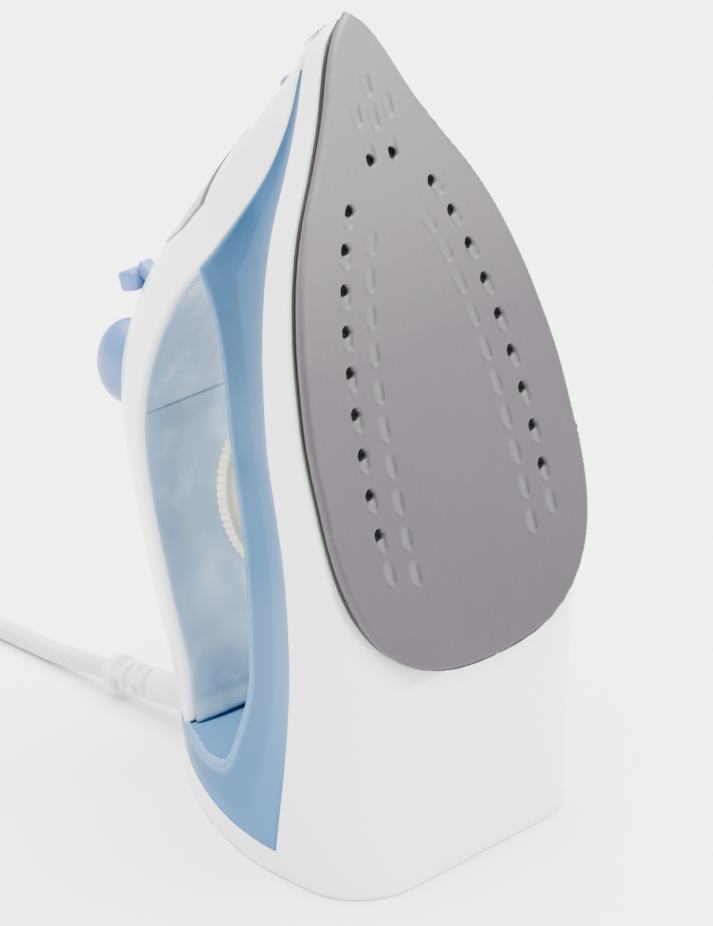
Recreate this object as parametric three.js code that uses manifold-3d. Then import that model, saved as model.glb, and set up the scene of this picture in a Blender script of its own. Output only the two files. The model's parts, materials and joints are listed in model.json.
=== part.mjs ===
// Steam iron standing on its heel, in millimetres.
// Z is up and the table is z = 0. The soleplate faces -Y, the handle +Y, X = 0 is the symmetry plane.
// Inside the tilted body frame: x across, y = height above the sole face, z = distance along the
// sole from its rear edge to the tip. Comments call those two "height" and "station".
import * as THREE from "three";
import { mergeGeometries, mergeVertices } from "three/addons/utils/BufferGeometryUtils.js";
import Module from "manifold-3d";

const wasm = await Module();
wasm.setup();

// Driving dimensions
const SOLE_LENGTH = 217.5;
const SOLE_WIDTH = 119;
const BODY_HEIGHT = 159; // sole face to the crown of the handle
const HEEL_DROP = 78; // table to the rear edge of the sole face
const LEAN = THREE.MathUtils.degToRad(18.4); // backward lean of the sole face from upright

const FIT = 0.3; // clearance between pieces that touch
const WALL = 2.2; // moulded shells
const SOLE_THICK = 3;
const SHIELD_THICK = 3.2; // dark heat shield behind the sole
const HEEL_RIM = 8.5; // white rim left under the blue body, above the table
const HEEL_COVER_THICK = 3;

const STEAM_HOLE_R = 1.9;
const RECESS_WIDTH = 4.6;
const RECESS_LENGTH = 8.6;
const RECESS_DEPTH = 0.8;
const OUTER_PITCH = 13.35; // along the two rows with steam holes
const INNER_PITCH = 12.2; // along the two blind rows

const BASE_THICK = 9.5; // cast heating base
const ELEMENT_R = 3.3;
const COVER_THICK = 1.6; // lid of the steam chamber
const SEAL_THICK = 1;

const DIAL_R = 31;
const DIAL_RIM = 4.5; // height of the knurled rim
const DIAL_TOP = 85.5; // height of the dial's top face
const DIAL_TEETH = 48;
const SPINDLE_R = 3;

const DOOR_HALF = 11; // filler door, half width
const DOOR_TONGUE = 3.2; // half width of the door's tongue round its pin
const DOOR_PIN_R = 1;
const SLIDER_HALF = 8;
const SLIDER_TRAVEL = 6;
const BUTTON_TRAVEL = 4;
const BUTTON_RISE = 13; // button dome above the handle
const BUTTON_HALF = 11.5; // half width of the button pair
const BUTTON_LENGTH = 32;
const PUMP_R = 5.5;
const SPRING_R = 3.4;
const SPRING_WIRE = 0.35;
const NOZZLE_R = 4;

const LEAD_R = 3.75;
const LEAD_EXIT = [-5, 140, 13]; // where the strain relief leaves the heel, table frame
const RELIEF_LENGTH = 45;
const COLLAR_R = 7.4;
const COIL_CENTRE = [-59, 300];
const COIL_INNER_R = 30.3; // middle of the innermost turn
const COIL_OUTER_R = 55; // middle of the outermost turn
const COIL_LAYERS = 2;
const LEAD_SINKS = 6.3; // degrees the strain relief points down
const PLUG_R = 18;
const PLUG_LENGTH = 36;
const PLUG_PIN_R = 2.4;
const PLUG_PIN_LENGTH = 19;

// Small helpers
const clamp01 = (v) => Math.min(1, Math.max(0, v));
const lerp = (a, b, t) => a + (b - a) * t;
const smooth = (v, from, to) => {
  const t = clamp01((v - from) / (to - from));
  return t * t * (3 - 2 * t);
};

// Smooth curve through points [x, y] with rising x; level beyond both ends.
function through(points) {
  const slope = (i) => {
    const a = points[Math.max(0, i - 1)];
    const b = points[Math.min(points.length - 1, i + 1)];
    return (b[1] - a[1]) / (b[0] - a[0]);
  };
  return (x) => {
    if (x <= points[0][0]) return points[0][1];
    const last = points.length - 1;
    if (x >= points[last][0]) return points[last][1];
    const i = points.findIndex((p) => p[0] > x) - 1;
    const [x0, y0] = points[i];
    const [x1, y1] = points[i + 1];
    const d = x1 - x0;
    const t = (x - x0) / d;
    const t2 = t * t;
    const t3 = t2 * t;
    return (
      y0 * (2 * t3 - 3 * t2 + 1) +
      slope(i) * d * (t3 - 2 * t2 + t) +
      y1 * (3 * t2 - 2 * t3) +
      slope(i + 1) * d * (t3 - t2)
    );
  };
}

// A closed geometry as a manifold solid, and back.
function solid(geometry) {
  const bare = geometry.clone();
  bare.deleteAttribute("normal");
  bare.deleteAttribute("uv");
  const merged = mergeVertices(bare, 1e-4);
  return new wasm.Manifold(
    new wasm.Mesh({
      numProp: 3,
      vertProperties: merged.attributes.position.array,
      triVerts: new Uint32Array(merged.index.array),
    }),
  );
}

function geometryOf(made) {
  const mesh = made.getMesh();
  return new THREE.BufferGeometry()
    .setAttribute("position", new THREE.BufferAttribute(mesh.vertProperties, 3))
    .setIndex(new THREE.BufferAttribute(mesh.triVerts, 1));
}

const plastic = (color, roughness = 0.35) =>
  new THREE.MeshStandardMaterial({ color, roughness, metalness: 0 });
const metal = (color, roughness = 0.35) =>
  new THREE.MeshStandardMaterial({ color, roughness, metalness: 1 });

const WHITE = 0xf3f1f5;
const BLUE = 0x6b99bf;
const PALE_BLUE = 0x9fb9cf;
const BUTTON_BLUE = 0x96b4d7;
const CREAM = 0xe1e0d6;

const iron = new THREE.Group(); // everything that leans with the sole
iron.rotation.x = -LEAN;
iron.position.z = HEEL_DROP;
iron.updateMatrix();
const toIron = iron.matrix.clone().invert();
const standing = new THREE.Group(); // the iron and its lead as they stand on the table
standing.add(iron);
const whole = new THREE.Group();
whole.add(standing);

function place(parent, name, shape, material) {
  const geometry = shape.isBufferGeometry ? shape : geometryOf(shape);
  const mesh = new THREE.Mesh(geometry, material);
  mesh.name = name;
  parent.add(mesh);
  return mesh;
}

// Right edge of an outline joined to its mirror image.
const bothEdges = (right) => [...right, ...right.map(([x, s]) => [-x, s]).reverse()];
const shapeOf = (points) => new THREE.Shape(points.map(([a, b]) => new THREE.Vector2(a, b)));

// Side outline [station, height] cut right through across x.
function acrossX(points, half = 90) {
  const geometry = new THREE.ExtrudeGeometry(shapeOf(points), {
    depth: 2 * half,
    bevelEnabled: false,
  });
  return solid(geometry.rotateY(-Math.PI / 2).translate(half, 0, 0));
}

// Plan outline [x, station] raised from one height to another.
function raised(shape, low, high, curveSegments = 12) {
  const geometry = new THREE.ExtrudeGeometry(shape, {
    depth: high - low,
    bevelEnabled: false,
    curveSegments,
  });
  return geometry.rotateX(Math.PI / 2).translate(0, high, 0);
}

const box = (x0, x1, h0, h1, s0, s1) =>
  new THREE.BoxGeometry(x1 - x0, h1 - h0, s1 - s0).translate(
    (x0 + x1) / 2,
    (h0 + h1) / 2,
    (s0 + s1) / 2,
  );

// Upright round post on the height axis.
const post = (r, h0, h1, x, s, sides = 24, rTop = r) =>
  new THREE.CylinderGeometry(rTop, r, h1 - h0, sides).translate(x, (h0 + h1) / 2, s);

// Profile curves of the body; stations are shares of the sole length, heights of the body height.
const st = (f) => f * SOLE_LENGTH;
const ht = (f) => f * BODY_HEIGHT;
// stations behind the sole go with the drop of the heel
const back = (f) => f * (217.5 / 78) * HEEL_DROP;
const crown = through([
  [-70, ht(0.95)],
  [back(-0.12), ht(0.985)],
  [st(0.09), ht(1)],
  [st(0.35), ht(0.978)],
  [st(0.5), ht(0.925)],
  [st(0.634), ht(0.775)],
  [st(0.76), ht(0.548)],
  [st(0.85), ht(0.351)],
  [st(0.94), ht(0.155)],
  [st(1), ht(0.045)],
]);
const belt = through([
  [-95, ht(0.546)],
  [back(-0.225), ht(0.409)],
  [back(-0.014), ht(0.27)],
  [st(0.092), ht(0.214)],
  [st(0.23), ht(0.167)],
  [st(0.386), ht(0.141)],
  [st(0.616), ht(0.116)],
  [st(0.957), ht(0.088)],
]);
// lower edge of the white top shell
const shellEdge = through([
  [back(-0.2), ht(0.83)],
  [st(0), ht(0.826)],
  [st(0.15), ht(0.829)],
  [st(0.317), ht(0.813)],
  [st(0.45), ht(0.748)],
  [st(0.6), ht(0.568)],
  [st(0.69), ht(0.368)],
  [st(0.78), ht(0.213)],
  [st(0.874), ht(0.135)],
  [st(0.97), ht(0.085)],
]);
// top of the body under the hand
const deck = through([
  [back(-0.1), ht(0.604)],
  [back(-0.064), ht(0.547)],
  [st(0.018), ht(0.484)],
  [st(0.257), ht(0.377)],
  [st(0.46), ht(0.343)],
  [st(0.556), ht(0.359)],
  [st(0.63), ht(0.419)],
]);
const OPENING_FRONT = st(0.657);
const OPENING_REAR = back(-0.115);

// Half width of the sole outline at a station: nearly square rear, long sides, tapered nose.
const SIDE_START = 62; // station where the rear rounding ends
const noseHalf = through([
  [SIDE_START, SOLE_WIDTH / 2],
  [st(0.4), SOLE_WIDTH * 0.493],
  [st(0.5), SOLE_WIDTH * 0.464],
  [st(0.57), SOLE_WIDTH * 0.434],
  [st(0.65), SOLE_WIDTH * 0.385],
  [st(0.72), SOLE_WIDTH * 0.323],
  [st(0.794), SOLE_WIDTH * 0.236],
  [st(0.86), SOLE_WIDTH * 0.165],
  [st(0.94), SOLE_WIDTH * 0.094],
  [st(0.975), SOLE_WIDTH * 0.052],
  [st(1), 0.6],
]);
const rearHalf = (s) =>
  (SOLE_WIDTH / 2) * (1 - clamp01((SIDE_START - s) / SIDE_START) ** 2.6) ** (1 / 2.6);

// Plan outline of the sole drawn in by an amount.
function solePlan(inset = 0) {
  const half = SOLE_WIDTH / 2;
  const narrow = (half - inset) / half;
  const length = (SOLE_LENGTH - 3.1 * inset) / SOLE_LENGTH;
  const right = [];
  for (let i = 0; i <= 9; i++) {
    const a = (i / 9) * (Math.PI / 2);
    const x = half * Math.sin(a) ** (2 / 2.6);
    right.push([x, SIDE_START * (1 - Math.cos(a) ** (2 / 2.6))]);
  }
  for (let i = 1; i <= 16; i++) {
    const s = lerp(SIDE_START, SOLE_LENGTH, 1 - (1 - i / 16) ** 1.25);
    right.push([noseHalf(s), s]);
  }
  const all = right.map(([x, s]) => [x * narrow, inset + s * length]);
  const left = all.slice(1).map(([x, s]) => [-x, s]);
  return shapeOf([...all, ...left.reverse()]);
}

// Body envelope: sections across the stations, with a flat lower edge, a rounded lower corner and
// sides that stay plumb up to the belt, then draw in to the crown.
const SKIRT_LOW = SOLE_THICK + SHIELD_THICK + 2 * FIT;
const BODY_FROM = -92;
const BODY_TO = st(0.978);
const HEEL_CORNER = 22;
const FRONT_SLOPE = 0.345; // the panel below the sole falls away from the sole face

const lowEdge = (s) => SKIRT_LOW + Math.max(0, -s) * FRONT_SLOPE;

function sideHalf(s, w, inset) {
  const base = (s > SIDE_START ? noseHalf(s) : SOLE_WIDTH / 2) - inset;
  const top = crown(s) - inset;
  const start = Math.min(belt(s), lerp(lowEdge(s), top, 0.5));
  const t = clamp01((w - start) / (top - start));
  const bell = (1 - 0.64 * t ** 0.75) * Math.sqrt(1 - t ** 6);
  const round = (1 - t ** 1.75) ** (1 / 1.75);
  const full = Math.max(smooth(-s, -8, 45), smooth(s, st(0.85), st(0.97)));
  return Math.max(0.4, base) * lerp(bell, round, full);
}

function envelope(inset = 0) {
  const SIDE = 9;
  const CORNER = 3;
  const half = CORNER + SIDE + 1;
  const count = 2 * half;
  const STEPS = 28;
  const ring = [];
  for (let k = 0; k < count; k++) {
    const a = -Math.PI / 2 + (k / count) * 2 * Math.PI;
    ring.push([Math.cos(a), Math.sin(a)]);
  }
  const geometry = new THREE.ExtrudeGeometry(shapeOf(ring), {
    depth: 1,
    steps: STEPS,
    bevelEnabled: false,
  });
  const at = geometry.attributes.position;
  for (let i = 0; i < at.count; i++) {
    const a = Math.atan2(at.getY(i), at.getX(i));
    let k = Math.round(((a + Math.PI / 2) / (2 * Math.PI)) * count);
    k = (k + count) % count;
    const mirrored = k > half;
    if (mirrored) k = count - k;
    const s = lerp(BODY_FROM, BODY_TO - 1.5 * inset, at.getZ(i));
    const low = lowEdge(s) + inset;
    const corner = lerp(1.2, HEEL_CORNER - inset, smooth(-s, -38, 6));
    const base = sideHalf(s, low, inset);
    const radius = Math.min(corner, base * 0.8);
    let x;
    let w;
    if (k === 0) {
      x = 0;
      w = low;
    } else if (k <= CORNER) {
      const c = ((k - 1) / (CORNER - 1)) * (Math.PI / 2) * 0.98;
      x = base - radius + radius * Math.sin(c);
      w = low + radius * (1 - Math.cos(c));
    } else {
      const q = (k - CORNER) / (half - CORNER);
      const from = low + radius;
      w = lerp(from, crown(s) - inset, 1 - (1 - q) ** 2);
      x = k === half ? 0 : sideHalf(s, w, inset);
    }
    at.setXYZ(i, mirrored ? -x : x, w, s);
  }
  return solid(geometry);
}

// Table-frame solid brought into the leaning body frame.
const fromTable = (geometry) => solid(geometry.clone().applyMatrix4(toIron));
const tableSlab = (low, high) =>
  fromTable(new THREE.BoxGeometry(400, 700, high - low).translate(0, 60, (low + high) / 2));
// station of the point at a height that is a given distance above the table
const stationAbove = (z, w) => (z - HEEL_DROP + w * Math.sin(LEAN)) / Math.cos(LEAN);

const outer = envelope().intersect(tableSlab(0, 400));
// the cavity, open below where the cast base passes through the skirt
const BASE_INSET = 9;
const inner = envelope(WALL).add(
  solid(raised(solePlan(BASE_INSET - 1), 0, SKIRT_LOW + 2 * WALL)),
);
const clearance = envelope(WALL + FIT).intersect(tableSlab(0, 400));

// Points of a profile curve between two stations.
function along(curve, from, to, count, shift = 0) {
  return Array.from({ length: count + 1 }, (_, i) => {
    const s = lerp(from, to, i / count);
    return [s, curve(s) + shift];
  });
}

// Soleplate with steam holes and blind capsule recesses.
const rowX = (widest, centre, reach) => (s) =>
  widest * SOLE_WIDTH * Math.sqrt(1 - ((s - st(centre)) / st(reach)) ** 2);
const outerRow = rowX(0.33, 0.253, 0.534);
const innerRow = rowX(0.238, 0.23, 0.492);

// Places stepped at an even pitch along a row, from its front end backwards.
function rowPlaces(row, front, pitch, count) {
  const places = [];
  let s = front;
  for (let i = 0; i < count; i++) {
    const slope = (row(s + 0.5) - row(s - 0.5)) / 1;
    places.push({ x: row(s), s, turn: Math.atan(slope) });
    s -= pitch / Math.hypot(1, slope);
  }
  return places;
}
const outerPlaces = rowPlaces(outerRow, st(0.719), OUTER_PITCH, 10);
const innerPlaces = rowPlaces(innerRow, st(0.662), INNER_PITCH, 10);
const HOLES_PER_ROW = 9;
const nosePlaces = [
  { x: 0, s: st(0.888), turn: 0 },
  { x: 0, s: st(0.838), turn: 0 },
  { x: SOLE_WIDTH * 0.061, s: st(0.85), turn: 0 },
];
const noseHoles = [{ x: SOLE_WIDTH * 0.043, s: st(0.779), turn: 0 }];

// Capsule outline centred a little behind or ahead of a steam hole.
function recess({ x, s, turn }, shift) {
  const r = RECESS_WIDTH / 2;
  const reach = RECESS_LENGTH / 2 - r;
  const shape = new THREE.Shape();
  shape.absarc(0, reach, r, 0, Math.PI, false);
  shape.absarc(0, -reach, r, Math.PI, 2 * Math.PI, false);
  const cut = raised(shape, -1, RECESS_DEPTH, 2);
  return cut.translate(0, 0, shift).rotateY(turn).translate(x, 0, s);
}

const bothSides = (places) => places.flatMap((p) => [p, { ...p, x: -p.x, turn: -p.turn }]);
const steamHoles = bothSides([...outerPlaces.slice(0, HOLES_PER_ROW), ...noseHoles]);
const recessShift = RECESS_LENGTH / 2 - RECESS_WIDTH / 2;
const recesses = [
  ...bothSides(outerPlaces.slice(0, HOLES_PER_ROW)).map((p) => recess(p, -recessShift)),
  ...bothSides(outerPlaces.slice(HOLES_PER_ROW)).map((p) => recess(p, 0)),
  ...bothSides(innerPlaces).map((p) => recess(p, 0)),
  ...bothSides(noseHoles).map((p) => recess(p, recessShift)),
  ...nosePlaces.slice(0, 2).map((p) => recess(p, 0)),
  ...bothSides(nosePlaces.slice(2)).map((p) => recess(p, 0)),
];
const soleShape = solePlan();
for (const { x, s } of steamHoles) {
  const hole = new THREE.Path();
  hole.absarc(x, s, STEAM_HOLE_R, 0, 2 * Math.PI, true);
  soleShape.holes.push(hole);
}
const sole = solid(raised(soleShape, 0, SOLE_THICK, 4)).subtract(solid(mergeGeometries(recesses)));
place(iron, "soleplate", sole, metal(0xb0abad, 0.32));

// Cast heating base with its trough for the element, the chamber and the steam gallery.
const baseLow = SOLE_THICK + FIT;
const baseTop = baseLow + BASE_THICK;
const gallery = solePlan(15);
gallery.holes.push(new THREE.Path(solePlan(25).getPoints().reverse()));
const elementPath = new THREE.CatmullRomCurve3(
  [
    [-15, baseTop + 17, 12],
    [-17, baseTop + 6, 14],
    [-25, baseTop, 27],
    [-31, baseTop, 60],
    [-27, baseTop, st(0.5)],
    [-17, baseTop, st(0.74)],
    [0, baseTop, st(0.8)],
  ].map((p) => new THREE.Vector3(...p)),
);
const half = elementPath.getPoints(20);
const mirroredHalf = half.slice(0, -1).reverse().map((p) => new THREE.Vector3(-p.x, p.y, p.z));
const elementRun = new THREE.CatmullRomCurve3([...half, ...mirroredHalf]);
function tube(curve, radius, sides, steps) {
  const circle = [];
  for (let i = 0; i < sides; i++) {
    const a = (i / sides) * 2 * Math.PI;
    circle.push([radius * Math.cos(a), radius * Math.sin(a)]);
  }
  return new THREE.ExtrudeGeometry(shapeOf(circle), {
    steps,
    extrudePath: curve,
    bevelEnabled: false,
  });
}
const chamberShape = (grow) => {
  const r = 14 + grow;
  const shape = new THREE.Shape();
  shape.absarc(0, st(0.68), r, 0, Math.PI, false);
  shape.absarc(0, st(0.5), r, Math.PI, 2 * Math.PI, false);
  return shape;
};
const base = solid(raised(solePlan(BASE_INSET), baseLow, baseTop))
  .subtract(solid(tube(elementRun, ELEMENT_R + FIT, 8, 28)))
  .subtract(solid(raised(chamberShape(-4), baseTop - 7, baseTop + 1, 6)))
  .subtract(solid(raised(gallery, 0, baseLow + 2)));
place(iron, "heating_base", base, metal(0x9a9a9a, 0.5));
place(iron, "heating_element", tube(elementRun, ELEMENT_R, 8, 28), metal(0x77716c, 0.45));

const sealShape = chamberShape(0);
sealShape.holes.push(new THREE.Path(chamberShape(-4).getPoints(6).reverse()));
const sealLow = baseTop + FIT;
place(iron, "chamber_seal", raised(sealShape, sealLow, sealLow + SEAL_THICK, 6), plastic(0x9c4a3a, 0.7));
const coverLow = sealLow + SEAL_THICK + FIT;
const VALVE_STATION = st(0.7);
const NEEDLE_R = 1.6;
const coverShape = chamberShape(0);
const inlet = new THREE.Path();
inlet.absarc(0, VALVE_STATION, NEEDLE_R + 1.4, 0, 2 * Math.PI, true);
coverShape.holes.push(inlet);
place(
  iron,
  "steam_chamber_cover",
  raised(coverShape, coverLow, coverLow + COVER_THICK, 6),
  metal(0xb8b8b8, 0.4),
);

// Dark heat shield: a frame round the cast base, cut short at the rear.
const shieldShape = solePlan(1);
shieldShape.holes.push(new THREE.Path(solePlan(BASE_INSET - 1).getPoints().reverse()));
const shieldLow = SOLE_THICK + FIT;
place(
  iron,
  "heat_shield",
  raised(shieldShape, shieldLow, shieldLow + SHIELD_THICK),
  plastic(0x464446, 0.5),
);

// White skirt: everything below the belt, the panel below the sole and the rim at the table.
const skirtRegion = acrossX([
  [st(1.02), -20],
  [st(1.02), belt(st(1))],
  ...along(belt, st(0.98), back(-0.22), 16),
  [stationAbove(HEEL_RIM, belt(back(-0.23))), belt(back(-0.23))],
  [stationAbove(HEEL_RIM, 190), 190],
  [-190, 190],
  [-190, -20],
]);
// a piece turned about +Y, moved to the strain relief's axis
const onRelief = (geometry) =>
  geometry.rotateX(-THREE.MathUtils.degToRad(LEAD_SINKS)).translate(...LEAD_EXIT);
const RELIEF_R = 6.1;
const leadBore = fromTable(
  onRelief(new THREE.CylinderGeometry(RELIEF_R + FIT, RELIEF_R + FIT, 40, 24)),
);
// Screw bosses of the heel, each tied to the side wall by a rib.
const HEEL_SCREWS = [-34, 34];
const HEEL_SCREW_Y = 62;
const SCREW_R = 1.7;
const SCREW_HEAD_R = 3.4;
const SCREW_LENGTH = 14;
const BOSS_LOW = HEEL_COVER_THICK + FIT;
const upright = (r, low, high, x, y, sides = 16) =>
  new THREE.CylinderGeometry(r, r, high - low, sides)
    .rotateX(Math.PI / 2)
    .translate(x, y, (low + high) / 2);
const rib = (x, high) =>
  fromTable(
    new THREE.BoxGeometry(SOLE_WIDTH / 2 - 30, 2.4, high - BOSS_LOW).translate(
      Math.sign(x) * (SOLE_WIDTH / 4 + 15),
      HEEL_SCREW_Y,
      (high + BOSS_LOW) / 2,
    ),
  );
let skirt = outer.intersect(skirtRegion).subtract(inner).subtract(leadBore);
for (const x of HEEL_SCREWS) {
  const boss = fromTable(upright(SCREW_R + 2.3, BOSS_LOW, SCREW_LENGTH + 4, x, HEEL_SCREW_Y));
  skirt = skirt
    .add(boss.add(rib(x, SCREW_LENGTH)).intersect(clearance))
    .add(rib(x, HEEL_RIM - FIT).intersect(outer))
    .subtract(fromTable(upright(SCREW_R + FIT, -1, SCREW_LENGTH + 1, x, HEEL_SCREW_Y)));
}
place(iron, "skirt", skirt, plastic(WHITE, 0.3));

// Heel cover: the plate that closes the heel and carries the iron when it stands.
const heelPlate = envelope(WALL + FIT).intersect(tableSlab(0, HEEL_COVER_THICK));
const heelBores = HEEL_SCREWS.flatMap((x) => [
  fromTable(upright(SCREW_R + FIT, -1, 10, x, HEEL_SCREW_Y)),
  fromTable(upright(SCREW_HEAD_R + FIT, -2, 1.8, x, HEEL_SCREW_Y)),
]);
place(
  iron,
  "heel_cover",
  heelBores.reduce((a, b) => a.subtract(b), heelPlate),
  plastic(WHITE, 0.4),
);

// Blue body and tank: between the belt, the deck of the handle opening and the edge of the top shell.
const gapAbove = FIT;
const SHELL_END_LOW = back(-0.083);
const SHELL_END_HIGH = back(-0.022);
const blueOutline = (trim, beltShift) => [
  ...along(belt, back(-0.215), st(0.93) - 3 * trim, 14, beltShift),
  ...along(shellEdge, st(0.935) - 3 * trim, OPENING_FRONT + trim, 8, -trim - gapAbove),
  ...along(deck, st(0.635), OPENING_REAR + 3 - trim, 12, -trim),
  [OPENING_REAR - trim, ht(0.663)],
  [OPENING_REAR + 2 - trim, ht(0.722)],
  [SHELL_END_LOW - gapAbove - trim, shellEdge(0) - gapAbove - trim],
  [SHELL_END_HIGH - gapAbove - trim, 175],
  [stationAbove(HEEL_RIM + FIT - 5 * trim, 175), 175],
  [stationAbove(HEEL_RIM + FIT - 5 * trim, belt(-52) + beltShift), belt(-52) + beltShift],
];
const blueRegion = acrossX(blueOutline(0, FIT));
const hollow = acrossX(blueOutline(WALL, FIT)).add(
  acrossX([
    ...along(belt, back(-0.19), st(0.9), 10, -6),
    ...along(belt, st(0.9), back(-0.19), 10, 6),
  ]),
).add(
  // the heel opens into the hollow handle
  acrossX([
    [SHELL_END_LOW - gapAbove - WALL, shellEdge(0) - 8],
    [SHELL_END_LOW - gapAbove - WALL, shellEdge(0) - 2.2],
    [SHELL_END_HIGH + 7, shellEdge(0) - 2.2],
    [SHELL_END_HIGH + 7, 175],
    [-75, 175],
    [-75, shellEdge(0) - 8],
  ]),
);
const FILLER_STATION = st(0.79);
const topSlope = (s) => (crown(s + 1) - crown(s - 1)) / 2;
// a tool standing on the handle's top line at a station, its own +Y along the outward normal
function onCrown(geometry, s, depth = 0, x = 0) {
  const turn = Math.atan(topSlope(s));
  return geometry
    .clone()
    .translate(x, -depth, 0)
    .rotateX(-turn)
    .translate(0, crown(s), s);
}
const fillerHole = solid(post(8, 20, 120, 0, FILLER_STATION, 20));
const needleBore = solid(post(NEEDLE_R + 0.6, 30, 120, 0, VALVE_STATION, 14));
const LAMP_STATION = st(0.497);
const LAMP_R = 3;
const lampBore = solid(post(LAMP_R + FIT, 30, 100, 0, LAMP_STATION, 20));
const DIAL_STATION = st(0.27);
const spindleBore = solid(post(SPINDLE_R + 1, 20, 120, 0, DIAL_STATION));
const blue = outer
  .intersect(blueRegion)
  .subtract(inner.intersect(hollow))
  .subtract(fillerHole)
  .subtract(needleBore)
  .subtract(lampBore)
  .subtract(spindleBore)
  .subtract(leadBore);
place(iron, "water_tank", blue, plastic(BLUE, 0.2));

// Tank floor: a tray that shuts the tank's front part, with an upright rear wall.
const TANK_REAR = st(0.47);
const FLOOR_HEIGHT = 27;
const FLOOR_THICK = 2;
const tankFloor = clearance
  .intersect(
    acrossX([
      [TANK_REAR, FLOOR_HEIGHT],
      [st(0.65), FLOOR_HEIGHT],
      [st(0.81), belt(st(0.81)) + 3.5],
      [st(0.81), belt(st(0.81)) + 3.5 + FLOOR_THICK],
      [st(0.65), FLOOR_HEIGHT + FLOOR_THICK],
      [TANK_REAR + FLOOR_THICK, FLOOR_HEIGHT + FLOOR_THICK],
      [TANK_REAR + FLOOR_THICK, deck(TANK_REAR + FLOOR_THICK) - WALL - FIT],
      [TANK_REAR, deck(TANK_REAR) - WALL - FIT],
    ]),
  )
  .subtract(solid(post(NEEDLE_R + 3 + FIT, 0, 90, 0, VALVE_STATION)));
place(iron, "tank_floor", tankFloor, plastic(PALE_BLUE, 0.3));

// White top shell, from the nose over the handle to the heel.
const shellLow = (s) => Math.max(shellEdge(s), belt(s) + FIT);
const shellRegion = acrossX([
  ...along(shellLow, SHELL_END_LOW, st(0.99), 26),
  [st(1.1), shellLow(st(1))],
  [st(1.1), 175],
  [SHELL_END_HIGH, 175],
]);
const BUTTON_STATION = st(0.485);
const SLIDER_STATION = st(0.622);
const DOOR_FRONT = st(0.845);
const DOOR_REAR = st(0.685);
const PIN_STATION = DOOR_FRONT - 1.5;
const PIN_HEIGHT = crown(PIN_STATION) - 3.6;
// The door narrows to a tongue round its pin, between the lugs of the shell.
const doorSpan = (grow) =>
  acrossX(
    [
      [DOOR_REAR - grow, crown(DOOR_REAR) - 16 - 3 * grow],
      [DOOR_FRONT + 2 * grow, crown(DOOR_FRONT) - 9 - 3 * grow],
      [DOOR_FRONT + 2 * grow, crown(DOOR_FRONT) + 20],
      [DOOR_REAR - grow, crown(DOOR_REAR) + 20],
    ],
    DOOR_HALF + grow,
  ).intersect(
    solid(
      raised(
        shapeOf(
          bothEdges([
            [DOOR_HALF * 0.72 + grow, DOOR_REAR - grow],
            [DOOR_HALF + grow, DOOR_REAR + 5],
            [DOOR_HALF + grow, DOOR_REAR + 13],
            [DOOR_TONGUE + 1.6 + grow, PIN_STATION - 5.6 + 3.5 * grow],
            [DOOR_TONGUE + grow, PIN_STATION - 5 + 3.5 * grow],
            [DOOR_TONGUE + grow, DOOR_FRONT + 2 * grow],
          ]),
        ),
        10,
        200,
      ),
    ),
  );
const sliderSlot = solid(
  onCrown(
    new THREE.BoxGeometry(2 * 3 + 2, 30, 7 + SLIDER_TRAVEL).translate(0, 0, -SLIDER_TRAVEL / 2),
    SLIDER_STATION,
  ),
);
const buttonPocket = solid(
  onCrown(
    new THREE.BoxGeometry(2 * (BUTTON_HALF + FIT) + 0.2, 30, BUTTON_LENGTH + 1),
    BUTTON_STATION,
  ),
);
const nozzleBore = solid(
  onCrown(new THREE.CylinderGeometry(NOZZLE_R + FIT, NOZZLE_R + FIT, 30, 20), st(0.91)),
);
let shell = outer
  .intersect(shellRegion)
  .subtract(inner)
  .subtract(doorSpan(0.4))
  .subtract(sliderSlot)
  .subtract(buttonPocket)
  .subtract(nozzleBore)
  .subtract(leadBore);
// lugs that hold the door's pin
for (const side of [-1, 1]) {
  const middle = side * (DOOR_TONGUE + 1.65);
  const lug = box(middle - 1.1, middle + 1.1, PIN_HEIGHT - 2.4, PIN_HEIGHT + 6, PIN_STATION - 3, PIN_STATION + 4);
  shell = shell.add(solid(lug).intersect(outer));
}
const pinBore = solid(
  new THREE.CylinderGeometry(DOOR_PIN_R + 0.1, DOOR_PIN_R + 0.1, 2 * DOOR_TONGUE + 4.6, 16)
    .rotateZ(Math.PI / 2)
    .translate(0, PIN_HEIGHT, PIN_STATION),
);
shell = shell.subtract(pinBore);
place(iron, "top_shell", shell, plastic(WHITE, 0.3));

// Filler door: clear plate let into the nose, with a barrel round its pin.
const barrel = solid(
  new THREE.CylinderGeometry(2, 2, 2 * DOOR_TONGUE - 0.2, 16)
    .rotateZ(Math.PI / 2)
    .translate(0, PIN_HEIGHT, PIN_STATION),
);
const doorArm = solid(
  box(-DOOR_TONGUE, DOOR_TONGUE, PIN_HEIGHT - 1, PIN_HEIGHT + 3, PIN_STATION - 5, PIN_STATION),
);
const doorPlate = outer.intersect(doorSpan(0)).subtract(envelope(1.8));
const door = doorPlate
  .add(barrel.add(doorArm).intersect(envelope(0.9)))
  .subtract(pinBore)
  .subtract(solid(box(-20, 20, 0, 200, PIN_STATION + 2, SOLE_LENGTH + 20)));
place(iron, "filler_door", door, plastic(0xc9cdd0, 0.08));
place(
  iron,
  "door_pin",
  new THREE.CylinderGeometry(DOOR_PIN_R - 0.2, DOOR_PIN_R - 0.2, 2 * DOOR_TONGUE + 4, 12)
    .rotateZ(Math.PI / 2)
    .translate(0, PIN_HEIGHT, PIN_STATION),
  metal(0xb5b5b5, 0.3),
);

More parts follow.
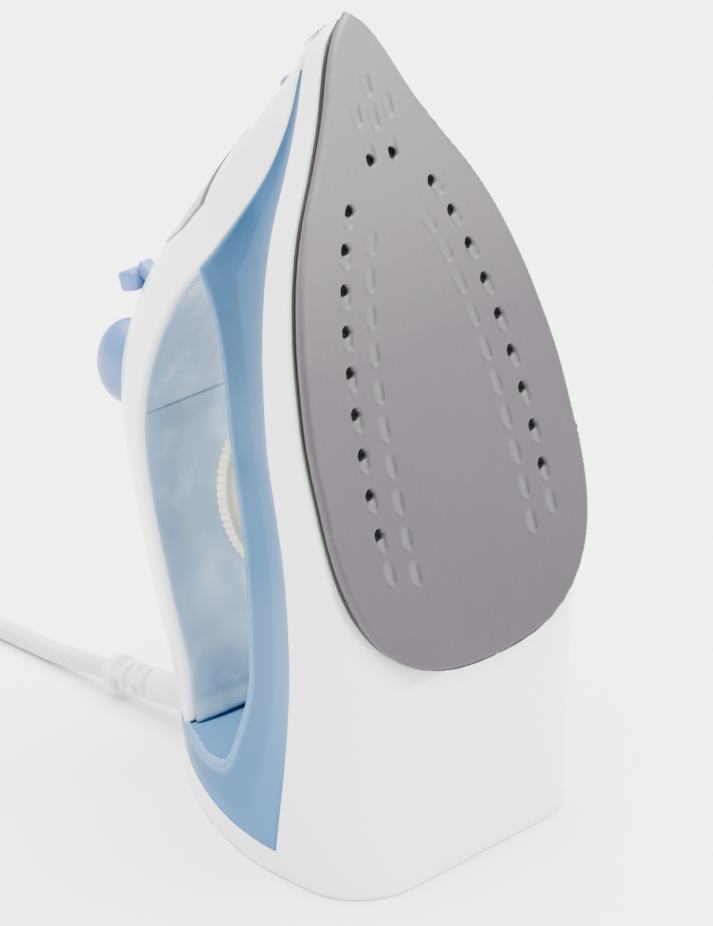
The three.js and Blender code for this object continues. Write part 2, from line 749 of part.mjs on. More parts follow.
// Spray nozzle, nearly flush in the nose.
place(
  iron,
  "spray_nozzle",
  solid(onCrown(new THREE.CylinderGeometry(NOZZLE_R, NOZZLE_R, 5, 20), st(0.91), 2))
    .subtract(solid(onCrown(new THREE.CylinderGeometry(0.8, 0.8, 3, 10), st(0.91), 0.2))),
  plastic(PALE_BLUE, 0.3),
);

// Light blue lining of the handle opening: front neck and grip underside, clipped into the shell.
const NECK_REAR = st(0.43);
const GRIP_REAR = back(-0.03);
const liningStrip = (from, to, count) =>
  clearance.intersect(
    acrossX([
      ...along(shellEdge, from, to, count, 0.6),
      ...along(shellEdge, to, from, count, 2.8),
    ]),
  );
place(
  iron,
  "grip_underside",
  liningStrip(GRIP_REAR, NECK_REAR - FIT, 12),
  plastic(PALE_BLUE, 0.25),
);
place(
  iron,
  "handle_neck",
  liningStrip(NECK_REAR, OPENING_FRONT - 4, 8),
  plastic(PALE_BLUE, 0.25),
);

// Temperature dial with knurled rim and tapered underside, and its spindle.
const teeth = [];
for (let i = 0; i < 2 * DIAL_TEETH; i++) {
  const a = (i / (2 * DIAL_TEETH)) * 2 * Math.PI;
  const r = i % 2 ? DIAL_R : DIAL_R - 0.7;
  teeth.push([r * Math.cos(a), DIAL_STATION + r * Math.sin(a)]);
}
const dialRim = solid(raised(shapeOf(teeth), DIAL_TOP - DIAL_RIM, DIAL_TOP));
const DIAL_LOW = DIAL_TOP - DIAL_RIM - 6;
const dialCone = solid(
  post(DIAL_R - 9, DIAL_LOW, DIAL_TOP - DIAL_RIM + 0.5, 0, DIAL_STATION, 32, DIAL_R - 1.5),
);
const dialSocket = solid(post(SPINDLE_R + FIT, DIAL_LOW - 1, DIAL_TOP - 3, 0, DIAL_STATION));
place(
  iron,
  "temperature_dial",
  dialRim.add(dialCone).subtract(dialSocket),
  plastic(CREAM, 0.4),
);
const THERMOSTAT_TALL = 15;
const thermostatTop = baseTop + FIT + THERMOSTAT_TALL;
place(
  iron,
  "dial_spindle",
  post(SPINDLE_R, thermostatTop + FIT, DIAL_TOP - 3 - FIT, 0, DIAL_STATION, 20),
  metal(0xa8a8a8, 0.4),
);

// Thermostat and thermal fuse on the cast base.
place(
  iron,
  "thermostat",
  solid(box(-11, 11, baseTop + FIT, baseTop + 4, DIAL_STATION - 22, DIAL_STATION + 12))
    .add(solid(post(9, baseTop + 3, thermostatTop, 0, DIAL_STATION)))
    .add(solid(box(-4, 4, baseTop + 3, baseTop + 11, DIAL_STATION - 21, DIAL_STATION - 8))),
  plastic(0x5b4636, 0.6),
);
place(
  iron,
  "thermal_fuse",
  solid(
    new THREE.CylinderGeometry(2.6, 2.6, 15, 14)
      .rotateZ(Math.PI / 2)
      .translate(0, baseTop + 3.2, st(0.1)),
  ).add(solid(box(-9, 9, baseTop + FIT, baseTop + 1.4, st(0.1) - 3, st(0.1) + 3))),
  metal(0xc7c0b0, 0.4),
);

// Drip valve: seat tube from the tank floor to the chamber lid, needle and steam slider.
const coverTop = coverLow + COVER_THICK;
place(
  iron,
  "valve_seat",
  solid(post(NEEDLE_R + 3, coverTop + FIT, FLOOR_HEIGHT + 4, 0, VALVE_STATION))
    .subtract(solid(post(NEEDLE_R + FIT, 0, 90, 0, VALVE_STATION, 16))),
  plastic(0xd8d4c8, 0.5),
);
const NEEDLE_TOP = crown(VALVE_STATION) - 12;
place(
  iron,
  "valve_needle",
  solid(post(NEEDLE_R, coverTop - 1, NEEDLE_TOP, 0, VALVE_STATION, 14)).add(
    solid(box(-2, 2, NEEDLE_TOP - 2.5, NEEDLE_TOP, VALVE_STATION - 6, VALVE_STATION + 2)),
  ),
  metal(0xc0c0c0, 0.3),
);
const sliderBase = crown(SLIDER_STATION);
const SLIDER_FLANGE = (12 / 119) * SOLE_WIDTH; // narrows with the shell it runs under
place(
  iron,
  "steam_slider",
  solid(box(-SLIDER_HALF, SLIDER_HALF, sliderBase + 5, sliderBase + 16, SLIDER_STATION - 3.5, SLIDER_STATION + 3.5))
    .add(solid(onCrown(new THREE.BoxGeometry(5.2, 13, 4.8), SLIDER_STATION)))
    .add(solid(onCrown(new THREE.BoxGeometry(SLIDER_FLANGE, 1.6, 7), SLIDER_STATION, WALL + 2.4))),
  plastic(BUTTON_BLUE, 0.3),
);

// Two pump buttons side by side under one dome outline.
const domeLow = 7;
const domeProfile = [new THREE.Vector2(0, -domeLow), new THREE.Vector2(1, -domeLow)];
for (let i = 0; i < 8; i++) {
  const a = (i / 8) * (Math.PI / 2);
  domeProfile.push(new THREE.Vector2(Math.cos(a), BUTTON_RISE * Math.sin(a)));
}
domeProfile.push(new THREE.Vector2(0, BUTTON_RISE));
const dome = solid(
  new THREE.LatheGeometry(domeProfile, 24).scale(BUTTON_HALF, 1, BUTTON_LENGTH / 2),
);
const PUMP_TOP = -13.5;
const PUMP_BOTTOM = -25;
const PUMP_X = BUTTON_HALF / 2 + 0.2;
const crownMatrix = new THREE.Group();
crownMatrix.rotation.x = -Math.atan(topSlope(BUTTON_STATION));
crownMatrix.position.set(0, crown(BUTTON_STATION), BUTTON_STATION);
iron.add(crownMatrix);
const pumpHoles = [];
for (const [side, name] of [
  [-1, "spray"],
  [1, "steam"],
]) {
  const x = side * PUMP_X;
  const halfSpace = solid(
    side < 0 ? box(-30, -FIT / 2, -30, 30, -30, 30) : box(FIT / 2, 30, -30, 30, -30, 30),
  );
  const atX = (r, low, high, sides = 20) =>
    solid(new THREE.CylinderGeometry(r, r, high - low, sides).translate(x, (low + high) / 2, 0));
  place(
    crownMatrix,
    name + "_button",
    dome.intersect(halfSpace),
    plastic(BUTTON_BLUE, 0.3),
  );
  place(
    crownMatrix,
    name + "_plunger",
    atX(2, PUMP_TOP - 3, -domeLow - FIT).add(atX(3, PUMP_TOP - 4, PUMP_TOP - 2)),
    plastic(0xe6e2da, 0.4),
  );
  place(
    crownMatrix,
    name + "_pump",
    atX(PUMP_R, PUMP_BOTTOM, PUMP_TOP, 24).subtract(atX(SPRING_R, PUMP_BOTTOM + 1, 0)),
    plastic(0xdedbd2, 0.4),
  );
  pumpHoles.push(atX(PUMP_R + FIT, -60, 10, 24));
  const springLow = PUMP_BOTTOM + 1 + FIT + SPRING_WIRE;
  const springHigh = PUMP_TOP - 4 - FIT - SPRING_WIRE;
  const coil = [];
  for (let i = 0; i <= 32; i++) {
    const a = (i / 32) * 3 * 2 * Math.PI;
    const r = SPRING_R - SPRING_WIRE - FIT;
    coil.push(
      new THREE.Vector3(x + r * Math.cos(a), lerp(springLow, springHigh, i / 32), r * Math.sin(a)),
    );
  }
  place(
    crownMatrix,
    name + "_spring",
    tube(new THREE.CatmullRomCurve3(coil), SPRING_WIRE, 4, 42),
    metal(0xbdbdbd, 0.3),
  );
}
const carrier = clearance.intersect(
  solid(onCrown(new THREE.BoxGeometry(80, 2, 22), BUTTON_STATION, 18)),
);
crownMatrix.updateMatrix();
const pumpClear = pumpHoles.reduce((a, b) => a.add(b));
place(
  iron,
  "pump_carrier",
  carrier.subtract(solid(geometryOf(pumpClear).applyMatrix4(crownMatrix.matrix))),
  plastic(0xdedbd2, 0.5),
);

// Indicator lamp lens in the deck, ahead of the dial.
const lampTop = deck(LAMP_STATION) + 0.8;
place(
  iron,
  "indicator_lamp",
  post(LAMP_R, lampTop - 6, lampTop, 0, LAMP_STATION, 20, LAMP_R - 0.4),
  plastic(0xe8a060, 0.15),
);

// Heel screws.
for (const x of HEEL_SCREWS) {
  const cross = solid(new THREE.BoxGeometry(3.8, 0.7, 1.2).translate(x, HEEL_SCREW_Y, 0.4)).add(
    solid(new THREE.BoxGeometry(0.7, 3.8, 1.2).translate(x, HEEL_SCREW_Y, 0.4)),
  );
  place(
    standing,
    "heel_screw_" + (x < 0 ? "left" : "right"),
    solid(upright(SCREW_HEAD_R, 0.4, 1.8 - FIT, x, HEEL_SCREW_Y, 20))
      .add(solid(upright(SCREW_R, 1, SCREW_LENGTH, x, HEEL_SCREW_Y)))
      .subtract(cross),
    metal(0x8f8f92, 0.4),
  );
}

// Strain relief: turned about its own axis, with a flange inside the heel, then hung at the exit.
const [EXIT_X, EXIT_Y, EXIT_Z] = LEAD_EXIT;
const RIB_PITCH = 4.8;
const reliefLine = (along) => [
  EXIT_X,
  EXIT_Y + along * Math.cos(THREE.MathUtils.degToRad(LEAD_SINKS)),
  EXIT_Z - along * Math.sin(THREE.MathUtils.degToRad(LEAD_SINKS)),
];
const COLLAR_AT = RELIEF_LENGTH - 7;
const FLANGE_AT = -17;
const reliefProfile = [
  [0, FLANGE_AT],
  [8, FLANGE_AT],
  [8, FLANGE_AT + 2],
  [5, FLANGE_AT + 2],
  [5, -5],
  [RELIEF_R, -4],
];
for (let i = 3; i >= 1; i--) {
  const rib = COLLAR_AT - i * RIB_PITCH;
  reliefProfile.push([RELIEF_R, rib], [RELIEF_R - 1, rib + 0.3]);
  reliefProfile.push([RELIEF_R - 1, rib + 2.4], [RELIEF_R, rib + 2.7]);
}
reliefProfile.push(
  [RELIEF_R, COLLAR_AT - 0.6],
  [COLLAR_R, COLLAR_AT],
  [COLLAR_R, COLLAR_AT + 3],
  [LEAD_R + 0.9, RELIEF_LENGTH],
  [0, RELIEF_LENGTH],
);
const turned = (points, sides) =>
  new THREE.LatheGeometry(
    points.map(([r, h]) => new THREE.Vector2(r, h)),
    sides,
  );
place(standing, "strain_relief", onRelief(turned(reliefProfile, 18)), plastic(0xe4e2df, 0.5));

// Lead inside the heel, its clamp, the terminal block and the two wires that leave it.
const SHEATH_R = 3;
const TERMINAL_Y = 78;
const CLAMP_Y = 106;
const sheathStart = reliefLine(FLANGE_AT - 2 * FIT);
const SHEATH_Z = BOSS_LOW + 5;
const sheathRun = new THREE.CatmullRomCurve3(
  [
    sheathStart,
    reliefLine(FLANGE_AT - 5),
    [EXIT_X, CLAMP_Y + 8, SHEATH_Z + 1],
    [EXIT_X, CLAMP_Y + 3, SHEATH_Z],
    [EXIT_X, CLAMP_Y - 6, SHEATH_Z],
    [EXIT_X, TERMINAL_Y + 7 + FIT, SHEATH_Z],
  ].map((p) => new THREE.Vector3(...p)),
);
place(standing, "lead_sheath", tube(sheathRun, SHEATH_R, 10, 9), plastic(0xd9d9d6, 0.6));
const block = (x0, x1, y0, y1, z0, z1) =>
  new THREE.BoxGeometry(x1 - x0, y1 - y0, z1 - z0).translate(
    (x0 + x1) / 2,
    (y0 + y1) / 2,
    (z0 + z1) / 2,
  );
const sheathSlot = block(
  EXIT_X - SHEATH_R - FIT,
  EXIT_X + SHEATH_R + FIT,
  0,
  200,
  0,
  SHEATH_Z + SHEATH_R + FIT + 0.4,
);
place(
  standing,
  "cord_clamp",
  solid(block(EXIT_X - 9, EXIT_X + 9, CLAMP_Y - 4, CLAMP_Y + 4, BOSS_LOW, SHEATH_Z + SHEATH_R + 3))
    .subtract(solid(sheathSlot)),
  plastic(0xd2cfc6, 0.5),
);
const TERMINAL_TOP = BOSS_LOW + 12;
place(
  standing,
  "terminal_block",
  block(EXIT_X - 14, EXIT_X + 14, TERMINAL_Y - 7, TERMINAL_Y + 7, BOSS_LOW, TERMINAL_TOP),
  plastic(0xcfcabb, 0.5),
);
const WIRE_R = 1.2;
// a point above one of the element's two upright ends
const elementEnd = (x, lift) =>
  new THREE.Vector3(x, baseTop + 17 + lift, 12).applyMatrix4(iron.matrix).toArray();
for (const [name, x, color] of [
  ["live_wire", -15, 0x6d4a33],
  ["neutral_wire", 15, 0x3f6da8],
]) {
  const from = EXIT_X + Math.sign(x) * 8;
  const wireRun = new THREE.CatmullRomCurve3(
    [
      [from, TERMINAL_Y, TERMINAL_TOP + FIT],
      [from, TERMINAL_Y - 2, TERMINAL_TOP + 12],
      [x, 62, 50],
      elementEnd(x, 14),
      elementEnd(x, 2 * FIT),
    ].map((p) => new THREE.Vector3(...p)),
  );
  place(standing, name, tube(wireRun, WIRE_R, 8, 14), plastic(color, 0.5));
}

// The origin lies on the table under the middle of the standing iron, lead left out.
const ownBox = new THREE.Box3().setFromObject(standing, true);
standing.position.y = -(ownBox.min.y + ownBox.max.y) / 2;

// Mains lead laid on the table, its spare length wound in a flat two-layer coil.
const LEAD_LOW = LEAD_R + 0.05;
const COIL_TOP = LEAD_LOW + (2 * LEAD_R + 0.05) * (COIL_LAYERS - 1);
const LEAD_X = COIL_CENTRE[0] + COIL_OUTER_R;
const END_X = COIL_CENTRE[0] - COIL_OUTER_R;
const coilRing = (grow) =>
  turned(
    [
      [COIL_INNER_R - LEAD_R - grow, -grow + 0.05],
      [COIL_OUTER_R + LEAD_R + grow, -grow + 0.05],
      [COIL_OUTER_R + LEAD_R + grow, COIL_TOP + LEAD_R + grow],
      [COIL_INNER_R - LEAD_R - grow, COIL_TOP + LEAD_R + grow],
      [COIL_INNER_R - LEAD_R - grow, -grow + 0.05],
    ],
    48,
  )
    .rotateX(Math.PI / 2)
    .translate(...COIL_CENTRE, 0);
const leadFrom = reliefLine(RELIEF_LENGTH + FIT);
const leadRun = new THREE.CatmullRomCurve3(
  [
    leadFrom,
    reliefLine(RELIEF_LENGTH + 8),
    [lerp(EXIT_X, LEAD_X, 0.4), leadFrom[1] + 20, LEAD_LOW + 1.7],
    [lerp(EXIT_X, LEAD_X, 0.8), leadFrom[1] + 32, LEAD_LOW + 0.3],
    [LEAD_X, leadFrom[1] + 45, LEAD_LOW],
    [LEAD_X, lerp(leadFrom[1], COIL_CENTRE[1], 0.7), LEAD_LOW],
    [LEAD_X, COIL_CENTRE[1] - 4, LEAD_LOW],
  ].map((p) => new THREE.Vector3(...p)),
);
const ringClear = solid(coilRing(FIT));
const WEAVE = 0x8d8d92;
place(
  standing,
  "mains_lead",
  solid(tube(leadRun, LEAD_R, 10, 18)).subtract(ringClear),
  plastic(WEAVE, 0.9),
);
place(standing, "mains_lead_coil", coilRing(0), plastic(WEAVE, 0.9));

// Far end of the lead, rising from the coil to the plug.
const PLUG_REAR = COIL_CENTRE[1] - 62; // where the lead enters the plug's boot
const PLUG_X = END_X + 14; // the plug lies a little inside the coil's flank
const BOOT_LENGTH = 20;
const endRun = new THREE.CatmullRomCurve3(
  [
    [END_X, COIL_CENTRE[1] - 4, COIL_TOP],
    [lerp(END_X, PLUG_X, 0.1), COIL_CENTRE[1] - 20, COIL_TOP],
    [lerp(END_X, PLUG_X, 0.55), COIL_CENTRE[1] - 38, COIL_TOP + 1.8],
    [PLUG_X, PLUG_REAR + 8, PLUG_R - 0.2],
    [PLUG_X, PLUG_REAR + 2 * FIT, PLUG_R],
  ].map((p) => new THREE.Vector3(...p)),
);
place(
  standing,
  "mains_lead_end",
  solid(tube(endRun, LEAD_R, 10, 12)).subtract(ringClear),
  plastic(WEAVE, 0.9),
);
// pieces of the plug are turned about +Y, their fronts toward -Y
const onPlug = (geometry) => geometry.translate(PLUG_X, PLUG_REAR, PLUG_R);
place(
  standing,
  "plug_boot",
  onPlug(
    turned(
      [
        [0, FIT - BOOT_LENGTH],
        [8, FIT - BOOT_LENGTH],
        [LEAD_R + 1, 0],
        [0, 0],
      ],
      20,
    ),
  ),
  plastic(0x55565a, 0.6),
);
place(
  standing,
  "plug_body",
  onPlug(
    turned(
      [
        [0, -BOOT_LENGTH - PLUG_LENGTH],
        [PLUG_R - 1, -BOOT_LENGTH - PLUG_LENGTH],
        [PLUG_R, -BOOT_LENGTH - PLUG_LENGTH + 1],
        [PLUG_R, -BOOT_LENGTH - 14],
        [PLUG_R - 5, -BOOT_LENGTH - 2],
        [PLUG_R - 7, -BOOT_LENGTH],
        [0, -BOOT_LENGTH],
      ],
      28,
    ),
  ),
  plastic(0x55565a, 0.5),
);
const PIN_SPACING = 19;
for (const [name, side] of [
  ["plug_pin_left", -1],
  ["plug_pin_right", 1],
]) {
  const face = -BOOT_LENGTH - PLUG_LENGTH - FIT;
  place(
    standing,
    name,
    onPlug(
      turned(
        [
          [0, face - PLUG_PIN_LENGTH],
          [PLUG_PIN_R - 1, face - PLUG_PIN_LENGTH],
          [PLUG_PIN_R, face - PLUG_PIN_LENGTH + 1.4],
          [PLUG_PIN_R, face],
          [0, face],
        ],
        14,
      ).translate((side * PIN_SPACING) / 2, 0, 0),
    ),
    metal(0xd0cdc6, 0.25),
  );
}

export default whole;
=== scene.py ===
"""Looks of a steam iron standing on its heel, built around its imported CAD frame."""

import json
import math

import bmesh
import bpy
import numpy as np
from mathutils import Matrix, Vector

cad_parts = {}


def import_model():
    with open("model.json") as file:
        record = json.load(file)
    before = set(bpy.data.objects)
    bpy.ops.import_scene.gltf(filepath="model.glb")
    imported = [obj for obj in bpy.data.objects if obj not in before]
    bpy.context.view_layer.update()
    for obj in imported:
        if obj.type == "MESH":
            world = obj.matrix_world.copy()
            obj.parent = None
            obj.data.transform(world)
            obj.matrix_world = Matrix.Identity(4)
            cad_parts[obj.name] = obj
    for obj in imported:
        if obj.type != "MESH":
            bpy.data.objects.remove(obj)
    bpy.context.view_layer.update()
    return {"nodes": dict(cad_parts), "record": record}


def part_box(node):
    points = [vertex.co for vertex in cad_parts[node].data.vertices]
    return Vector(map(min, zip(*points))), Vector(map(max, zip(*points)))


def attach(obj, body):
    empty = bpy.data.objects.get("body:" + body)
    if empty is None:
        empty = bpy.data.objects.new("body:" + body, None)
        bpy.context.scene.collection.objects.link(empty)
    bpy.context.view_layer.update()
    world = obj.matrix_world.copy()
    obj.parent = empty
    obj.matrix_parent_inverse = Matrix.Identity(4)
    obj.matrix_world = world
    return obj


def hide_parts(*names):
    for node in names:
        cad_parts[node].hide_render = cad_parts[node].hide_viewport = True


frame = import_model()

# ---------------------------------------------------------------- sizes, millimetres
SOLE_LENGTH = 217.5
SOLE_WIDTH = 119.0
BODY_HEIGHT = 159.0
HEEL_DROP = 78.0
LEAN = math.radians(18.4)
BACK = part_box("soleplate")[0].y * 1000  # front-to-back place of the sole's rear edge
SIDE_START = 62.0
SKIRT_LOW = 6.8
HEEL_CORNER = 25.0
FRONT_SLOPE = 0.345
HEEL_RIM = 8.5
GAP = 0.3
SIN, COS = math.sin(LEAN), math.cos(LEAN)


def world(x, w, u):
    """Body frame (across, height above the sole, station) turned back by the lean and set on
    the table, in metres."""
    x, w, u = np.broadcast_arrays(x, w, u)
    y = u * SIN + w * COS + BACK
    z = HEEL_DROP + u * COS - w * SIN
    return np.stack([x, y, z], -1) / 1000


def table(x, y, z):
    """Table frame of the CAD source, millimetres, in metres round the part's own origin."""
    x, y, z = np.broadcast_arrays(x, y, z)
    return np.stack([x, y + BACK, z], -1) / 1000


def through(points):
    """Smooth curve through points of rising x: cubic pieces with central slopes, level outside."""
    px, py = np.array(points, float).T
    slope = np.empty(len(px))
    slope[1:-1] = (py[2:] - py[:-2]) / (px[2:] - px[:-2])
    slope[0] = (py[1] - py[0]) / (px[1] - px[0])
    slope[-1] = (py[-1] - py[-2]) / (px[-1] - px[-2])

    def at(x):
        x = np.clip(x, px[0], px[-1])
        i = np.clip(np.searchsorted(px, x, side="right") - 1, 0, len(px) - 2)
        d = px[i + 1] - px[i]
        t = (x - px[i]) / d
        return (
            py[i] * (2 * t**3 - 3 * t**2 + 1)
            + slope[i] * d * (t**3 - 2 * t**2 + t)
            + py[i + 1] * (3 * t**2 - 2 * t**3)
            + slope[i + 1] * d * (t**3 - t**2)
        )

    return at


def st(f):
    return f * SOLE_LENGTH


def ht(f):
    return f * BODY_HEIGHT


def mix(a, b, t):
    return a + (b - a) * t


def ease(v, start, end):
    """0 before start, 1 after end, smooth between."""
    t = np.clip((v - start) / (end - start), 0, 1)
    return t * t * (3 - 2 * t)


crown = through([(-70, ht(0.95)), (st(-0.12), ht(0.985)), (st(0.09), ht(1)), (st(0.35), ht(0.978)),
                 (st(0.5), ht(0.925)), (st(0.634), ht(0.775)), (st(0.76), ht(0.548)),
                 (st(0.85), ht(0.351)), (st(0.94), ht(0.155)), (st(1), ht(0.045))])
belt = through([(-95, ht(0.546)), (st(-0.225), ht(0.409)), (st(-0.014), ht(0.27)),
                (st(0.092), ht(0.214)), (st(0.23), ht(0.167)), (st(0.386), ht(0.141)),
                (st(0.616), ht(0.116)), (st(0.957), ht(0.088))])
shell_edge = through([(st(-0.2), ht(0.83)), (st(0), ht(0.826)), (st(0.15), ht(0.829)),
                      (st(0.317), ht(0.813)), (st(0.45), ht(0.748)), (st(0.6), ht(0.568)),
                      (st(0.69), ht(0.368)), (st(0.78), ht(0.213)), (st(0.874), ht(0.135)),
                      (st(0.97), ht(0.085))])
deck = through([(st(-0.1), ht(0.604)), (st(-0.064), ht(0.547)), (st(0.018), ht(0.484)),
                (st(0.257), ht(0.377)), (st(0.46), ht(0.343)), (st(0.556), ht(0.359)),
                (st(0.63), ht(0.419))])
nose_half = through([(SIDE_START, SOLE_WIDTH / 2), (st(0.4), SOLE_WIDTH * 0.493),
                     (st(0.5), SOLE_WIDTH * 0.464), (st(0.57), SOLE_WIDTH * 0.434),
                     (st(0.65), SOLE_WIDTH * 0.385), (st(0.72), SOLE_WIDTH * 0.323),
                     (st(0.794), SOLE_WIDTH * 0.236), (st(0.86), SOLE_WIDTH * 0.165),
                     (st(0.94), SOLE_WIDTH * 0.094), (st(0.975), SOLE_WIDTH * 0.052),
                     (st(1), 0.0)])


def low_edge(s):
    return SKIRT_LOW + np.maximum(0, -s) * FRONT_SLOPE


def side_half(s, w, grow=0.0):
    """Half width of the body: plumb up to the belt, then drawn in to the crown, as a bell along
    the handle and as a full round at heel and nose; the nose closes like an ellipse's end."""
    base = np.where(s > SIDE_START, nose_half(s), SOLE_WIDTH / 2 - 1.2 * ease(-s, -30, 30))
    base = base * np.sqrt(1 - np.clip((s - st(0.955)) / (st(0.985) - st(0.955)), 0, 1) ** 2)
    top = crown(s)
    start = np.minimum(belt(s), mix(low_edge(s), top, 0.5))
    t = np.clip((w - start) / (top - start), 0, 1)
    bell = (1 - 0.64 * t**0.75) * np.sqrt(1 - t**6)
    full = (1 - t**1.75) ** (1 / 1.75)
    share = np.maximum(ease(-s, -8, 45), ease(s, st(0.85), st(0.97)))
    return base * mix(bell, full, share) + grow


def top_height(s, x):
    """Height at which the body is as wide as x, by halving the span between belt and crown."""
    s, x = np.broadcast_arrays(np.asarray(s, float), np.abs(np.asarray(x, float)))
    low = belt(s).copy()
    high = crown(s).copy()
    for _ in range(36):
        middle = (low + high) / 2
        wide = side_half(s, middle) > x
        low = np.where(wide, middle, low)
        high = np.where(wide, high, middle)
    return (low + high) / 2


# ---------------------------------------------------------------- meshes
def grid_faces(rows, columns, start=0, wrap_rows=False, wrap_columns=False):
    """Quads of a grid of points numbered row by row, joined round where it wraps."""
    r = np.arange(rows if wrap_rows else rows - 1)
    c = np.arange(columns if wrap_columns else columns - 1)
    r, c = np.meshgrid(r, c, indexing="ij")
    r1, c1 = (r + 1) % rows, (c + 1) % columns
    quads = np.stack([r * columns + c, r * columns + c1, r1 * columns + c1, r1 * columns + c], -1)
    return quads.reshape(-1, 4) + start


def piece(name, patches, material, body, stands_for=(), wall=0.0, marks=None,
          closed=True, bevel=0.0, flat=False):
    """One mesh from grids of points: (points, wrap rows, wrap columns) each. Doubles are merged,
    faces turned outwards, and an open skin gets a wall inwards. marks are values for each point,
    kept as attributes for the material."""
    verts, faces, count = [], [], 0
    for patch in patches:
        points, wrap_rows, wrap_columns = patch if isinstance(patch, tuple) else (patch, False, False)
        rows, columns = points.shape[:2]
        faces.append(grid_faces(rows, columns, count, wrap_rows, wrap_columns))
        verts.append(points.reshape(-1, 3))
        count += rows * columns
    verts = np.concatenate(verts)
    faces = np.concatenate(faces)
    mesh = bpy.data.meshes.new(name)
    mesh.from_pydata(verts.tolist(), [], faces.tolist())
    for key, values in (marks or {}).items():
        layer = mesh.attributes.new(key, "FLOAT", "POINT")
        layer.data.foreach_set("value", np.concatenate([v.ravel() for v in values]).astype(np.float32))
    made = bmesh.new()
    made.from_mesh(mesh)
    bmesh.ops.remove_doubles(made, verts=made.verts, dist=2e-6)
    bmesh.ops.dissolve_degenerate(made, edges=made.edges, dist=1e-7)
    bmesh.ops.recalc_face_normals(made, faces=made.faces)
    if not closed:
        middle = sum((v.co for v in made.verts), Vector()) / len(made.verts)
        outward = sum(f.calc_area() * f.normal.dot(f.calc_center_median() - middle) for f in made.faces)
        if outward < 0:
            bmesh.ops.reverse_faces(made, faces=made.faces)
    for f in made.faces:
        f.smooth = not flat
    made.to_mesh(mesh)
    made.free()
    thing = bpy.data.objects.new(name, mesh)
    bpy.context.scene.collection.objects.link(thing)
    mesh.materials.append(material)
    if wall:
        solid = thing.modifiers.new("wall", "SOLIDIFY")
        solid.thickness = wall / 1000
        solid.offset = -1
        solid.use_rim = True
        solid.use_even_offset = False
    if bevel:
        add_bevel(thing, bevel)
    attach(thing, body)
    if stands_for:
        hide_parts(*stands_for)
    return thing


def add_bevel(thing, width, segments=3, angle=35):
    edge = thing.modifiers.new("edge", "BEVEL")
    edge.width = width / 1000
    edge.segments = segments
    edge.limit_method = "ANGLE"
    edge.angle_limit = math.radians(angle)
    edge.harden_normals = False


def apply_modifiers(thing):
    """Bakes the modifiers into the mesh, keeping its materials."""
    bpy.context.view_layer.update()
    graph = bpy.context.evaluated_depsgraph_get()
    baked = bpy.data.meshes.new_from_object(thing.evaluated_get(graph))
    thing.modifiers.clear()
    thing.data = baked
    return thing


def carve(thing, cutters):
    """Takes the cutter solids (patches of closed grids) out of a finished piece."""
    for patches in cutters:
        tool = piece("tool", patches, thing.data.materials[0], "body")
        cut = thing.modifiers.new("cut", "BOOLEAN")
        cut.operation = "DIFFERENCE"
        cut.solver = "EXACT"
        cut.object = tool
        apply_modifiers(thing)
        bpy.data.objects.remove(tool)
    return thing


def sheer(thing, height=0.0):
    """Cuts away what lies below a level above the table."""
    made = bmesh.new()
    made.from_mesh(thing.data)
    everything = list(made.verts) + list(made.edges) + list(made.faces)
    bmesh.ops.bisect_plane(made, geom=everything, plane_co=(0, 0, height / 1000),
                           plane_no=(0, 0, 1), clear_inner=True, dist=1e-6)
    made.to_mesh(thing.data)
    made.free()


def lathe(profile, steps=64):
    """Profile (radius, height) turned about the height axis; rows follow the profile."""
    r, h = np.array(profile, float).T
    a = np.arange(steps) * 2 * math.pi / steps
    return r[:, None] * np.cos(a), np.broadcast_to(h[:, None], (len(r), steps)), r[:, None] * np.sin(a)


def rounded(corners, radius, steps=5):
    """Profile corners joined by arcs: each inner corner is cut back by the radius and bent."""
    corners = [np.array(c, float) for c in corners]
    out = [corners[0]]
    for before, here, after in zip(corners, corners[1:], corners[2:]):
        a, b = before - here, after - here
        cut = min(radius, 0.45 * np.linalg.norm(a), 0.45 * np.linalg.norm(b))
        a, b = here + a / np.linalg.norm(a) * cut, here + b / np.linalg.norm(b) * cut
        t = np.linspace(0, 1, steps)[:, None]
        out.extend((1 - t) ** 2 * a + 2 * t * (1 - t) * here + t**2 * b)
    out.append(corners[-1])
    return np.array(out)


